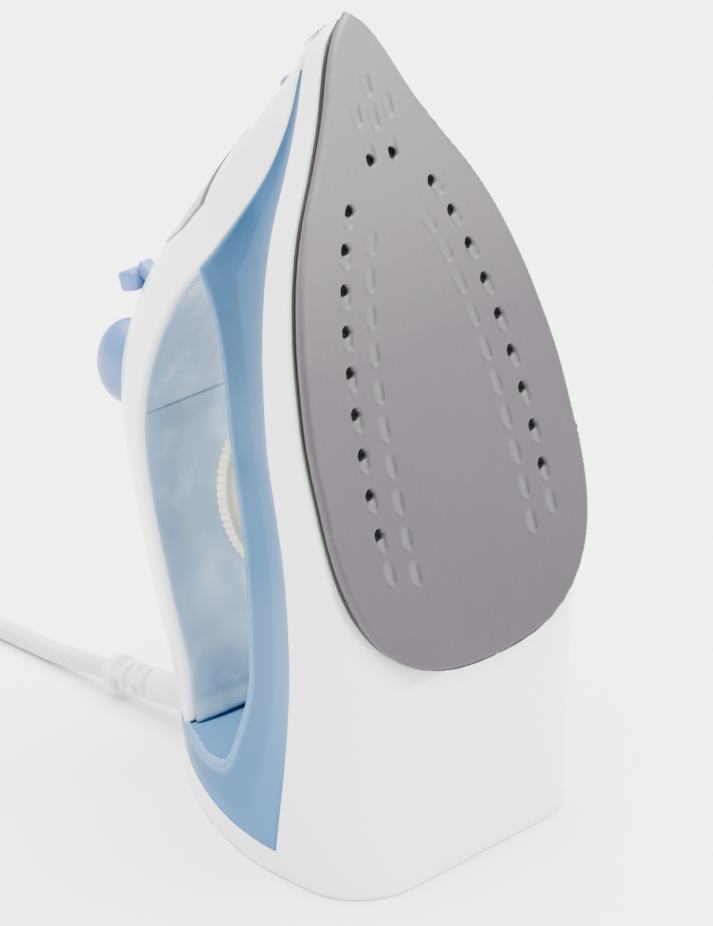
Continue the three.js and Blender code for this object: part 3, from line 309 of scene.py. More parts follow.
# ---------------------------------------------------------------- materials
class Nodes:
    """Small helper that adds shader nodes and joins them."""

    def __init__(self, name):
        self.material = bpy.data.materials.new(name)
        self.material.use_nodes = True
        self.tree = self.material.node_tree
        self.shader = self.tree.nodes["Principled BSDF"]
        self.place = self.add("ShaderNodeTexCoord").outputs["Object"]

    def add(self, kind, **values):
        node = self.tree.nodes.new(kind)
        for key, value in values.items():
            setattr(node, key, value)
        return node

    def join(self, a, b):
        self.tree.links.new(a, b)

    def noise(self, scale, detail=4.0, stretch=None):
        """Noise per metre on the piece's own place, drawn out along an axis if asked."""
        source = self.place
        if stretch:
            mapping = self.add("ShaderNodeMapping")
            mapping.inputs["Scale"].default_value = stretch
            self.join(source, mapping.inputs["Vector"])
            source = mapping.outputs[0]
        node = self.add("ShaderNodeTexNoise")
        node.inputs["Scale"].default_value = scale
        node.inputs["Detail"].default_value = detail
        self.join(source, node.inputs["Vector"])
        return node.outputs["Fac"]

    def ramp(self, source, stops):
        node = self.add("ShaderNodeValToRGB")
        while len(node.color_ramp.elements) < len(stops):
            node.color_ramp.elements.new(0.5)
        for element, (at, colour) in zip(node.color_ramp.elements, stops):
            element.position = at
            element.color = (*colour, 1)
        self.join(source, node.inputs["Fac"])
        return node.outputs["Color"]

    def range(self, source, low, high, start=0.3, end=0.7):
        node = self.add("ShaderNodeMapRange")
        node.inputs["From Min"].default_value = start
        node.inputs["From Max"].default_value = end
        node.inputs["To Min"].default_value = low
        node.inputs["To Max"].default_value = high
        self.join(source, node.inputs["Value"])
        return node.outputs["Result"]

    def height(self):
        node = self.add("ShaderNodeSeparateXYZ")
        self.join(self.place, node.inputs[0])
        return node.outputs["Z"]

    def attribute(self, name):
        return self.add("ShaderNodeAttribute", attribute_name=name).outputs["Fac"]

    def blend(self, a, b, share, mode="MIX"):
        node = self.add("ShaderNodeMix", data_type="RGBA", blend_type=mode)
        for value, key in ((share, 0), (a, 6), (b, 7)):
            if isinstance(value, (int, float)):
                node.inputs[key].default_value = value
            elif isinstance(value, tuple):
                node.inputs[key].default_value = (*value, 1)
            else:
                self.join(value, node.inputs[key])
        return node.outputs[2]

    def bump(self, source, depth, strength=1.0):
        node = self.add("ShaderNodeBump")
        node.inputs["Distance"].default_value = depth
        node.inputs["Strength"].default_value = strength
        self.join(source, node.inputs["Height"])
        self.join(node.outputs["Normal"], self.shader.inputs["Normal"])

    def set(self, **values):
        for key, value in values.items():
            socket = self.shader.inputs[key.replace("_", " ")]
            if hasattr(value, "links"):
                self.join(value, socket)
            else:
                socket.default_value = value
        return self


def shade(colour, k):
    return tuple(min(1.0, c * k) for c in colour)


def moulded(name, colour, roughness=0.35, coat=0.0, grain=2500, depth=2e-5, vary=0.04, **more):
    """Moulded plastic: slow colour drift, faint mottle, fine surface texture in the bump."""
    n = Nodes(name)
    drift = n.noise(18, 2)
    fine = n.noise(grain, 3)
    base = n.ramp(drift, [(0.3, shade(colour, 1 - vary)), (0.7, shade(colour, 1 + vary * 0.6))])
    n.set(Base_Color=base, Roughness=n.range(fine, roughness * 0.85, roughness * 1.2))
    n.set(Coat_Weight=coat, Coat_Roughness=0.08, **more)
    n.bump(fine, depth)
    return n.material


def bare_metal(name, colour, roughness=0.35, stretch=(1, 1, 30), scale=900):
    """Worked metal: streaks drawn out along one axis in colour, roughness and bump."""
    n = Nodes(name)
    streak = n.noise(scale, 4, stretch)
    blotch = n.noise(40, 3)
    base = n.ramp(streak, [(0.3, shade(colour, 0.92)), (0.7, shade(colour, 1.06))])
    base = n.blend(base, shade(colour, 0.8), n.range(blotch, 0.0, 0.25))
    n.set(Base_Color=base, Metallic=1.0, Roughness=n.range(streak, roughness * 0.85, roughness * 1.25))
    n.bump(streak, 1e-5)
    return n.material


WHITE = (0.86, 0.85, 0.88)
white_gloss = moulded("white_gloss", WHITE, 0.24, coat=0.35, grain=1800, depth=6e-6, vary=0.012)
white_matte = moulded("white_matte", WHITE, 0.5, grain=2600, depth=3e-5)
dark_plastic = moulded("dark_plastic", (0.012, 0.010, 0.011), 0.45)
pale_blue = moulded("pale_blue", (0.10, 0.20, 0.33), 0.16, coat=0.4, grain=900, depth=1e-5, vary=0.12)
button_blue = moulded("button_blue", (0.070, 0.155, 0.36), 0.36, grain=2200, depth=1.2e-5)
cream = moulded("cream", (0.66, 0.62, 0.45), 0.4, coat=0.2, grain=2000)
nylon = moulded("nylon", (0.68, 0.66, 0.6), 0.55)
relief_white = moulded("relief_white", (0.74, 0.73, 0.73), 0.5, grain=1500, depth=3e-5)
steel = bare_metal("steel", (0.6, 0.6, 0.6), 0.28)
plated = bare_metal("plated", (0.78, 0.74, 0.66), 0.22)


def sole_finish():
    """Warm grey coated metal: fine long streaks, soft blotches, painted light that makes the face
    lighter towards its top, and painted shade that makes the steam holes near black.
    """
    n = Nodes("sole_metal")
    streak = n.noise(700, 5, (1, 0.2, 0.2))
    blotch = n.noise(14, 3)
    speck = n.noise(3200, 2)
    # painted light and shade: the face is coloured lighter towards its top and darker towards its foot, standing in
    # for how the light falls on it
    level = n.ramp(n.range(n.height(), 0, 1, 0.09, 0.27), [
        (0.0, (0.068, 0.060, 0.070)), (0.5, (0.092, 0.082, 0.093)), (1.0, (0.190, 0.172, 0.188))])
    base = n.blend(level, (0.93, 0.93, 0.93), n.range(streak, 0.0, 1.0, 0.25, 0.75), "MULTIPLY")
    base = n.blend(base, (0.9, 0.9, 0.9), n.range(blotch, 0.0, 0.6, 0.35, 0.75), "MULTIPLY")
    # painted shade: the steam holes are coloured near black for the shade inside them
    base = n.blend(base, (0.003, 0.003, 0.003), n.range(n.attribute("hole"), 0, 1, 0.25, 0.7))
    base = n.blend(base, (0.19, 0.18, 0.19), n.range(n.attribute("pressed"), 0, 0.3, 0.5, 1.0))
    n.set(Base_Color=base, Metallic=0.45, Roughness=n.range(speck, 0.40, 0.5), IOR=1.3)
    n.bump(speck, 1.2e-5, 0.6)
    return n.material


def tank_finish():
    """Blue see-through plastic with painted light and shade: painted shade in its folds and on the
    upper side below the rim, painted light along the middle, a painted highlight on the lip round the
    opening, and painted shade towards the nose, with slow clouds as of water and wall thickness."""
    n = Nodes("tank_blue")
    cloud = n.noise(26, 3)
    up = n.attribute("up")
    run = n.attribute("run")
    # painted light and shade across the side: darker in the fold at the belt and on the upper side, lighter along the
    # middle, and a painted highlight on the lip at the top
    across = n.ramp(up, [(0.0, (0.010, 0.045, 0.11)), (0.06, (0.045, 0.14, 0.27)), (0.44, (0.030, 0.11, 0.22)),
                         (0.50, (0.014, 0.06, 0.13)), (0.90, (0.008, 0.04, 0.10)), (0.97, (0.07, 0.19, 0.33)),
                         (1.0, (0.28, 0.50, 0.70))])
    # painted shade along the length: lighter at the heel end, darker towards the nose
    length = n.ramp(run, [(0.0, (0.075, 0.19, 0.36)), (0.25, (0.05, 0.15, 0.28)), (0.50, (0.022, 0.085, 0.17)),
                          (0.70, (0.010, 0.05, 0.12)), (1.0, (0.008, 0.045, 0.12))])
    base = n.blend(across, length, 0.6)
    base = n.blend(base, (0.05, 0.16, 0.30), n.range(cloud, 0.0, 0.25, 0.45, 0.75))
    n.set(Base_Color=base, Roughness=0.22, Specular_IOR_Level=0.025, IOR=1.4)
    n.bump(n.noise(700, 2), 8e-6)
    return n.material


def braid_finish(name, light, dark, diameter):
    """Woven braid: two sets of slanting strands worked out on the cord's own length and turn,
    over and under by turns, with thread grooves in the bump and as painted shade that darkens their colour."""
    n = Nodes(name)
    along = n.attribute("along")
    turn = n.attribute("turn")

    def strands(sign):
        product = n.add("ShaderNodeMath", operation="MULTIPLY_ADD")
        n.join(along, product.inputs[0])
        product.inputs[1].default_value = sign * 380.0
        scaled = n.add("ShaderNodeMath", operation="MULTIPLY")
        n.join(turn, scaled.inputs[0])
        scaled.inputs[1].default_value = 10.0
        n.join(scaled.outputs[0], product.inputs[2])
        wave = n.add("ShaderNodeMath", operation="PINGPONG")
        n.join(product.outputs[0], wave.inputs[0])
        wave.inputs[1].default_value = 0.5
        return wave.outputs[0]

    a, b = strands(1), strands(-1)
    top = n.add("ShaderNodeMath", operation="MAXIMUM")
    n.join(a, top.inputs[0])
    n.join(b, top.inputs[1])
    fuzz = n.noise(5000, 2)
    # painted shade: the grooves between the strands are coloured darker than the strand tops
    base = n.ramp(top.outputs[0], [(0.2, dark), (0.75, light)])
    base = n.blend(base, dark, n.range(fuzz, 0.0, 0.25))
    n.set(Base_Color=base, Roughness=0.85, Sheen_Weight=0.3)
    n.bump(top.outputs[0], 3e-4 * diameter / 7.5, 0.9)
    return n.material


sole_metal = sole_finish()
tank_blue = tank_finish()
braid = braid_finish("woven_lead", (0.80, 0.80, 0.82), (0.50, 0.50, 0.54), 7.5)

# ---------------------------------------------------------------- camera
camera_data = bpy.data.cameras.new("camera")
camera_data.sensor_width = 36
camera_data.lens = 167.2
camera = bpy.data.objects.new("camera", camera_data)
bpy.context.scene.collection.objects.link(camera)
right = Vector((0.69432, -0.71967, 0)).normalized()
ahead = Vector((0.65532, 0.63224, -0.41331)).normalized()
up = right.cross(ahead)
turn = Matrix((right, up, -ahead)).transposed().to_4x4()
turn.translation = Vector(table(-943.6, -845.0, 721.6).tolist())
camera.matrix_world = turn
bpy.context.scene.camera = camera

# ---------------------------------------------------------------- mains lead
LEAD_R = 3.75
LEAD_LOW = LEAD_R + 0.05
COIL_CENTRE = np.array([-59.0, 300.0])
COIL_OUTER_R, COIL_INNER_R = 55.0, 30.3
COIL_TOP = LEAD_LOW + 2 * LEAD_R + 0.05
EXIT = np.array([-5.0, 140.0, 13.0])
SINKS = math.radians(6.3)
RELIEF_LENGTH = 45.0
PLUG_REAR = COIL_CENTRE[1] - 62
END_X = COIL_CENTRE[0] - COIL_OUTER_R
PLUG_X = END_X + 14
PLUG_R, BOOT_LENGTH, PLUG_LENGTH = 18.0, 20.0, 36.0


def relief_line(along):
    return EXIT + along * np.array([0, math.cos(SINKS), -math.sin(SINKS)])


def lead_route():
    """Points the lead follows: out of its guard, down to the table, straight back to the coil,
    inwards turn by turn, up one layer, outwards again, and forward to the plug."""
    start = relief_line(RELIEF_LENGTH + GAP)
    laid = [start, relief_line(RELIEF_LENGTH + 8),
            [mix(EXIT[0], -4, 0.4), start[1] + 20, LEAD_LOW + 1.7],
            [mix(EXIT[0], -4, 0.8), start[1] + 32, LEAD_LOW + 0.3],
            [-4, start[1] + 45, LEAD_LOW]]
    for y in np.linspace(start[1] + 57, COIL_CENTRE[1] - 5, 6):
        laid.append([-4, y, LEAD_LOW])
    t = np.arange(0, 3.25, 1 / 16)
    low = [(COIL_OUTER_R - 7.6 * k, k, LEAD_LOW) for k in t]
    rise = [(COIL_INNER_R, k, mix(LEAD_LOW, COIL_TOP, ease(k, 3.2, 3.55))) for k in
            np.arange(3.25, 3.55, 1 / 16)]
    high = [(mix(COIL_INNER_R, COIL_OUTER_R, (k - 3.55) / 2.95), k, COIL_TOP) for k in
            np.arange(3.56, 6.5, 1 / 16)]
    wound = [[COIL_CENTRE[0] + r * math.cos(2 * math.pi * k), COIL_CENTRE[1] + r * math.sin(2 * math.pi * k), z]
             for r, k, z in low + rise + high]
    out = [[END_X, COIL_CENTRE[1], COIL_TOP], [mix(END_X, PLUG_X, 0.1), COIL_CENTRE[1] - 20, COIL_TOP],
           [mix(END_X, PLUG_X, 0.55), COIL_CENTRE[1] - 38, COIL_TOP + 1.8],
           [PLUG_X, PLUG_REAR + 8, PLUG_R - 0.2], [PLUG_X, PLUG_REAR + GAP, PLUG_R]]
    return np.array([np.array(p, float) for p in laid + wound + out])


def smooth_line(points, spacing):
    """Catmull-Rom line through the points, resampled evenly."""
    p = np.vstack([2 * points[0] - points[1], points, 2 * points[-1] - points[-2]])
    t = np.linspace(0, 1, 24, endpoint=False)[:, None]
    parts = []
    for a, b, c, d in zip(p, p[1:], p[2:], p[3:]):
        parts.append(0.5 * (2 * b + (c - a) * t + (2 * a - 5 * b + 4 * c - d) * t**2
                            + (3 * b - a - 3 * c + d) * t**3))
    line = np.vstack(parts + [points[-1:]])
    run = np.concatenate([[0], np.cumsum(np.linalg.norm(np.diff(line, axis=0), axis=1))])
    even = np.linspace(0, run[-1], int(run[-1] / spacing) + 1)
    return np.stack([np.interp(even, run, line[:, k]) for k in range(3)], -1), even


def sweep(line, radius, sides, ends=True):
    """Round section carried along a line without twist; each end runs into its own centre."""
    ahead = np.gradient(line, axis=0)
    ahead /= np.linalg.norm(ahead, axis=1)[:, None]
    across = np.cross(ahead, [0, 0, 1.0])
    across /= np.linalg.norm(across, axis=1)[:, None]
    over = np.cross(across, ahead)
    a = np.arange(sides + 1) * 2 * math.pi / sides
    r = np.broadcast_to(np.asarray(radius, float), (len(line),))[:, None, None]
    ring = line[:, None] + r * (across[:, None] * np.cos(a)[None, :, None] + over[:, None] * np.sin(a)[None, :, None])
    if ends:
        first = np.broadcast_to(line[0], ring[0].shape)[None]
        last = np.broadcast_to(line[-1], ring[0].shape)[None]
        ring = np.concatenate([first, ring, last])
    return ring


lead_line, lead_run = smooth_line(lead_route(), 2.2)
SIDES = 20
lead_rings = sweep(lead_line, LEAD_R, SIDES)
run_marks = np.concatenate([[lead_run[0]], lead_run, [lead_run[-1]]])[:, None] / 1000
lead = piece(
    "lead", [table(*np.moveaxis(lead_rings, -1, 0))], braid, "body",
    ["mains_lead", "mains_lead_coil", "mains_lead_end"],
    marks={"along": [np.broadcast_to(run_marks, lead_rings.shape[:2])],
           "turn": [np.broadcast_to(np.arange(SIDES + 1) / SIDES, lead_rings.shape[:2])]})


def close_turn(thing):
    """Keeps the turn round the cord for each face corner, so that the last column runs on to a
    full turn where it meets the first."""
    mesh = thing.data
    at_vertex = np.empty(len(mesh.vertices), np.float32)
    mesh.attributes["turn"].data.foreach_get("value", at_vertex)
    vertex = np.empty(len(mesh.loops), np.int32)
    mesh.loops.foreach_get("vertex_index", vertex)
    at_corner = at_vertex[vertex] % 1.0
    for face in mesh.polygons:
        corners = at_corner[face.loop_start:face.loop_start + face.loop_total]
        if corners.max() - corners.min() > 0.5:
            corners[corners < 0.5] += 1
    mesh.attributes.remove(mesh.attributes["turn"])
    mesh.attributes.new("turn", "FLOAT", "CORNER").data.foreach_set("value", at_corner)


close_turn(lead)

# ---------------------------------------------------------------- plug
plug_plastic = moulded("plug_plastic", (0.78, 0.78, 0.79), 0.45, coat=0.1, grain=1600, depth=2e-5)


def on_plug(profile, steps=64, oval=1.0, dx=0.0):
    """Profile (radius, distance behind the plug's rear) turned about the plug's axis."""
    x, h, z = lathe(profile, steps)
    return table(PLUG_X + dx + x, PLUG_REAR + h, PLUG_R + z * oval)


def boot_profile():
    """Tapered sleeve with raised rings, each a smooth swell on the taper."""
    h = np.linspace(0, -BOOT_LENGTH + GAP, 60)
    r = np.interp(h, [-BOOT_LENGTH, 0], [8.0, LEAD_R + 0.8]) + 0.5 * np.maximum(0, np.sin(h * 1.9)) ** 2
    return np.vstack([[0, 0], np.stack([r, h], -1), [0, -BOOT_LENGTH + GAP]])


plug_boot = piece("plug_sleeve", [(on_plug(boot_profile()), False, True)], plug_plastic, "body",
                  ["plug_boot"])
head = [[0, -BOOT_LENGTH], [PLUG_R - 8, -BOOT_LENGTH], [PLUG_R - 5, -BOOT_LENGTH - 2],
        [PLUG_R, -BOOT_LENGTH - 14], [PLUG_R - 0.9, -BOOT_LENGTH - 18], [PLUG_R - 0.9, -BOOT_LENGTH - 28],
        [PLUG_R, -BOOT_LENGTH - 30], [PLUG_R, -BOOT_LENGTH - PLUG_LENGTH], [PLUG_R - 2, -BOOT_LENGTH - PLUG_LENGTH],
        [0, -BOOT_LENGTH - PLUG_LENGTH]]
plug_head = piece("plug_head", [(on_plug(rounded(head, 1.6)), False, True)], plug_plastic, "body",
                  ["plug_body"])
for side, word in ((-1, "left"), (1, "right")):
    face = -BOOT_LENGTH - PLUG_LENGTH - GAP
    profile = rounded([[0, face], [2.4, face], [2.4, face - 19], [0, face - 19]], 1.5)
    piece("plug_prong_" + word, [(on_plug(profile, 32, dx=side * 9.5), False, True)], plated,
                           "body", ["plug_pin_" + word])
exit_point = table(*relief_line(RELIEF_LENGTH + GAP))
(table(*lead_line.T)).tolist()


# ---------------------------------------------------------------- strain relief
def relief_points():
    """Guard turned about the lead: plain sleeve, then hoops joined by webs that change sides from
    gap to gap, a collar, and a short cone onto the lead."""
    along = np.linspace(-5, RELIEF_LENGTH, 420)
    a = np.arange(72) * 2 * math.pi / 72
    pitch, collar = 4.8, RELIEF_LENGTH - 7
    window = np.zeros((len(along), len(a)))
    for i in range(4):
        middle = collar - 2.2 - i * pitch
        inside = ease(1.4 - np.abs(along - middle), -0.12, 0.12)
        web = np.abs(np.cos(a + (i % 2) * math.pi / 2 + 0.5)) ** 6
        window += inside[:, None] * (1 - ease(web, 0.35, 0.6))[None]
    body = np.interp(along, [-5, 12, collar - 0.8, collar - 0.4, collar + 3, collar + 3.4, RELIEF_LENGTH],
                     [6.15, 6.15, 6.0, 7.4, 7.4, 6.6, LEAD_R + 0.9])
    r = body[:, None] - window * 2.5
    r = np.vstack([np.zeros(len(a)), r, np.zeros(len(a))])
    h = np.concatenate([[-5], along, [RELIEF_LENGTH]])[:, None]
    x, up = r * np.cos(a), r * np.sin(a)
    y = h * math.cos(SINKS) + up * math.sin(SINKS)
    z = -h * math.sin(SINKS) + up * math.cos(SINKS)
    return table(EXIT[0] + x, EXIT[1] + y, EXIT[2] + z)


piece("lead_guard", [(relief_points(), False, True)], relief_white, "body", ["strain_relief"])


# ---------------------------------------------------------------- soleplate
def row_x(widest, centre, reach):
    return lambda s: widest * SOLE_WIDTH * np.sqrt(1 - ((s - st(centre)) / st(reach)) ** 2)


def row_places(row, s, pitch, count):
    """Places stepped evenly along a row from its front end: (x, station, turn)."""
    places = []
    for _ in range(count):
        slope = row(s + 0.5) - row(s - 0.5)
        places.append((row(s), s, math.atan(slope)))
        s -= pitch / math.hypot(1, slope)
    return places


outer_places = row_places(row_x(0.33, 0.253, 0.534), st(0.719), 13.35, 10)
inner_places = row_places(row_x(0.238, 0.23, 0.492), st(0.662), 12.2, 10)
both = lambda places: [q for p in places for q in (p, (-p[0], p[1], -p[2]))]
holes = both([*outer_places[:9], (SOLE_WIDTH * 0.043, st(0.779), 0)])
RECESS_R, RECESS_REACH = 2.3, 2.0


def moved(place, shift):
    x, s, turn = place
    return x + shift * math.sin(turn), s + shift * math.cos(turn), turn


capsules = [moved(p, -RECESS_REACH) for p in both(outer_places[:9])]
capsules += both(outer_places[9:]) + both(inner_places)
capsules += [moved(p, RECESS_REACH) for p in both([(SOLE_WIDTH * 0.043, st(0.779), 0)])]
capsules += [(0, st(0.888), 0), (0, st(0.838), 0)] + both([(SOLE_WIDTH * 0.061, st(0.85), 0)])


def sole_half(s):
    rear = (SOLE_WIDTH / 2) * (1 - np.clip((SIDE_START - s) / SIDE_START, 0, 1) ** 2.6) ** (1 / 2.6)
    return np.where(s < SIDE_START, rear, nose_half(s))


def plan_outline(inset, count=240):
    """Right half of the sole's outline drawn in by an amount, from rear to tip: x and station."""
    a = np.linspace(0, math.pi / 2, count // 3)
    x = SOLE_WIDTH / 2 * np.sin(a) ** (2 / 2.6)
    s = SIDE_START * (1 - np.cos(a) ** (2 / 2.6))
    s2 = mix(SIDE_START, SOLE_LENGTH, 1 - (1 - np.linspace(0, 1, count)) ** 1.6)[1:]
    x = np.concatenate([x, nose_half(s2)])
    s = np.concatenate([s, s2])
    half = SOLE_WIDTH / 2
    return x * (half - inset) / half, inset + s * (SOLE_LENGTH - 3.1 * inset) / SOLE_LENGTH


def sole_piece():
    """Face as a height field: a rounded edge from the distance to the outline, pressed capsules
    with smooth walls, and steam holes that run deep; then the rim and the back."""
    fine = 62 * (1 - np.cos(np.linspace(0, 0.9, 40)) ** 0.77)
    stations = np.unique(np.concatenate([fine, np.arange(fine[-1], SOLE_LENGTH, 0.56), [SOLE_LENGTH]]))
    q = np.linspace(-1, 1, 213)
    q = np.sign(q) * (1 - (1 - np.abs(q)) ** 1.12)
    half = sole_half(stations)
    half[0] = 0
    x = q[None] * half[:, None]
    s = np.broadcast_to(stations[:, None], x.shape)
    ox, os_ = plan_outline(0)
    edge = np.full(x.shape, 1e9)
    for k in range(0, len(ox), 1):
        edge = np.minimum(edge, np.hypot(np.abs(x) - ox[k], s - os_[k]))
    edge[:, [0, -1]] = 0
    edge[[0, -1]] = 0
    r = 1.6
    w = r - np.sqrt(np.maximum(0, r**2 - (r - np.minimum(edge, r)) ** 2))
    pressed = np.zeros_like(x)
    hole = np.zeros_like(x)
    for cx, cs, turn in capsules:
        du, dv = x - cx, s - cs
        along = np.clip(du * math.sin(turn) + dv * math.cos(turn), -RECESS_REACH, RECESS_REACH)
        d = np.hypot(du - along * math.sin(turn), dv - along * math.cos(turn))
        pressed = np.maximum(pressed, ease(RECESS_R + 0.25 - d, 0, 1.15))
    for cx, cs, _ in holes:
        hole = np.maximum(hole, ease(1.95 + 0.3 - np.hypot(x - cx, s - cs), 0, 0.6))
    w = w + 0.75 * pressed + 1.9 * hole
    face = world(x, w, s)
    rim = [world(np.stack([e * half] * 3, -1), np.array([r, 2.2, 3.0])[None], stations[:, None]) for e in (1, -1)]
    for k, e in enumerate((1, -1)):
        rim[k][:, 0] = face[:, -1 if e > 0 else 0]
    back = world(half[:, None] * np.linspace(-1, 1, 5)[None], 3.0, stations[:, None])
    patches = [face, rim[0], rim[1], back]
    zero = [np.zeros(p.shape[:2]) for p in patches[1:]]
    return piece("pressing_sole", patches, sole_metal, "body", ["soleplate"],
                 marks={"hole": [hole, *zero], "pressed": [pressed * (1 - hole), *zero]})


sole_piece()


def ring_slab(name, sections, material, stands_for, count=160):
    """Closed ring round the sole's plan: each section point is (inset, height)."""
    loops = []
    for inset, height in sections:
        x, s = plan_outline(inset, count)
        loops.append(world(np.concatenate([x, -x[-2:0:-1]]), height, np.concatenate([s, s[-2:0:-1]])))
    return piece(name, [(np.stack(loops), True, True)], material, "body", stands_for)


ring_slab("shield_frame", rounded([[8, 3.3], [1.4, 3.3], [1.0, 3.7], [1.0, 4.6], [1.7, 4.9], [1.7, 5.2], [1.0, 5.5],
                                   [1.0, 6.3], [1.2, 6.5], [8, 6.5]], 0.15, 3), dark_plastic, ["heat_shield"])


# ---------------------------------------------------------------- white skirt and heel
def corner_radius(s):
    return mix(1.2, HEEL_CORNER, ease(-s, -38, 6))


def skirt_piece():
    """Lower edge, rounded corner and plumb side up to the belt; past the heel's foot the side runs
    on to the rim that goes round the blue body, and all is cut level at the table."""
    s1 = np.concatenate([st(0.985) - 1.2 * np.linspace(0, 1, 12) ** 0.5 * np.linspace(0, 1, 12),
                         np.linspace(st(0.978), SIDE_START, 150)[1:], np.linspace(SIDE_START, -92, 170)[1:]])
    n1 = len(s1)
    low = low_edge(s1)
    base = side_half(s1, low)
    r = np.minimum(corner_radius(s1), base * 0.8 + 1e-3)
    flat = np.linspace(0, 1, 14)
    arc = np.linspace(0, math.pi / 2, 14)[1:] * 0.98
    inner = np.maximum(0, base - 12) * ease(s1, 66, 110)
    x = np.concatenate([mix(inner[:, None], (base - r)[:, None], flat[None]),
                        (base - r)[:, None] + r[:, None] * np.sin(arc)], 1)
    w = np.concatenate([np.broadcast_to(low[:, None], (n1, 14)), low[:, None] + r[:, None] * (1 - np.cos(arc))], 1)
    s = np.broadcast_to(s1[:, None], x.shape)
    rim_station = lambda z, w: (z - HEEL_DROP + w * SIN) / COS
    # lower and upper line of the side, nose to heel foot, then round the heel to the crown
    turn_w = belt(-51.0)
    for _ in range(20):
        turn_w = belt(rim_station(HEEL_RIM, turn_w))
    turn_s = rim_station(HEEL_RIM, turn_w)
    up_s = np.interp(s1, [-92, 0, 300], [turn_s, 0, 300])
    up_w = belt(up_s)
    back_w = crown(-25.0)
    for _ in range(20):
        back_w = crown(rim_station(HEEL_RIM, back_w))
    below_w = crown(-40.0)
    for _ in range(20):
        below_w = crown(rim_station(-9, below_w))
    t = 1 - (1 - np.linspace(0, 1, 90)[1:]) ** 1.6
    heel_up_w = mix(turn_w, back_w, t)
    heel_low_w = mix(w[-1, -1], below_w, t)
    lo_s = np.concatenate([s1, rim_station(-9, heel_low_w)])
    lo_w = np.concatenate([w[:, -1], heel_low_w])
    lo_s[n1:] = mix(-92, lo_s[-1], (heel_low_w - w[-1, -1]) / (below_w - w[-1, -1]))
    hi_s = np.concatenate([up_s, rim_station(HEEL_RIM, heel_up_w)])
    hi_w = np.concatenate([up_w, heel_up_w])
    v = np.linspace(0, 1, 26)[None]
    side_s, side_w = mix(lo_s[:, None], hi_s[:, None], v), mix(lo_w[:, None], hi_w[:, None], v)
    side_x = side_half(side_s, side_w)
    side_x[-1] = 0
    side_x[:n1, 0] = x[:, -1]
    patches = []
    for e in (1, -1):
        patches += [world(e * x, w, s), world(e * side_x, side_w, side_s)]
    thing = piece("white_skirt", patches, white_gloss, "body", ["skirt"], closed=False)
    sheer(thing)
    solid = thing.modifiers.new("wall", "SOLIDIFY")
    solid.thickness = 0.0018
    solid.offset = -1
    return thing


skirt_piece()

# ---------------------------------------------------------------- blue body round the hand opening
OPENING_FRONT, OPENING_REAR = st(0.657), st(-0.115)
SHELL_END_LOW, SHELL_END_HIGH = st(-0.083), st(-0.022)


def end_station(w):
    """Slanting line where the white shell ends at the heel."""
    return SHELL_END_LOW + (w - ht(0.826)) / (175 - ht(0.826)) * (SHELL_END_HIGH - SHELL_END_LOW)


def opening_line(count):
    """Rim of the hand opening on the blue body, from its front apex along the deck and up its
    rear end, as station and height."""
    corners = [[OPENING_FRONT, shell_edge(OPENING_FRONT) - GAP]]
    for s in np.linspace(st(0.62), st(-0.05), 40):
        corners.append([s, deck(s)])
    corners += [[OPENING_REAR + 2.6, ht(0.585)], [OPENING_REAR + 0.6, ht(0.643)], [OPENING_REAR + 1.4, ht(0.712)],
                [OPENING_REAR + 4.2, ht(0.775)], [SHELL_END_LOW - GAP, shell_edge(0) - GAP]]
    line, run = smooth_line(np.column_stack([np.array(corners), np.zeros(len(corners))]), 0.8)
    even = np.linspace(0, run[-1], count)
    return np.interp(even, run, line[:, 0]), np.interp(even, run, line[:, 1])


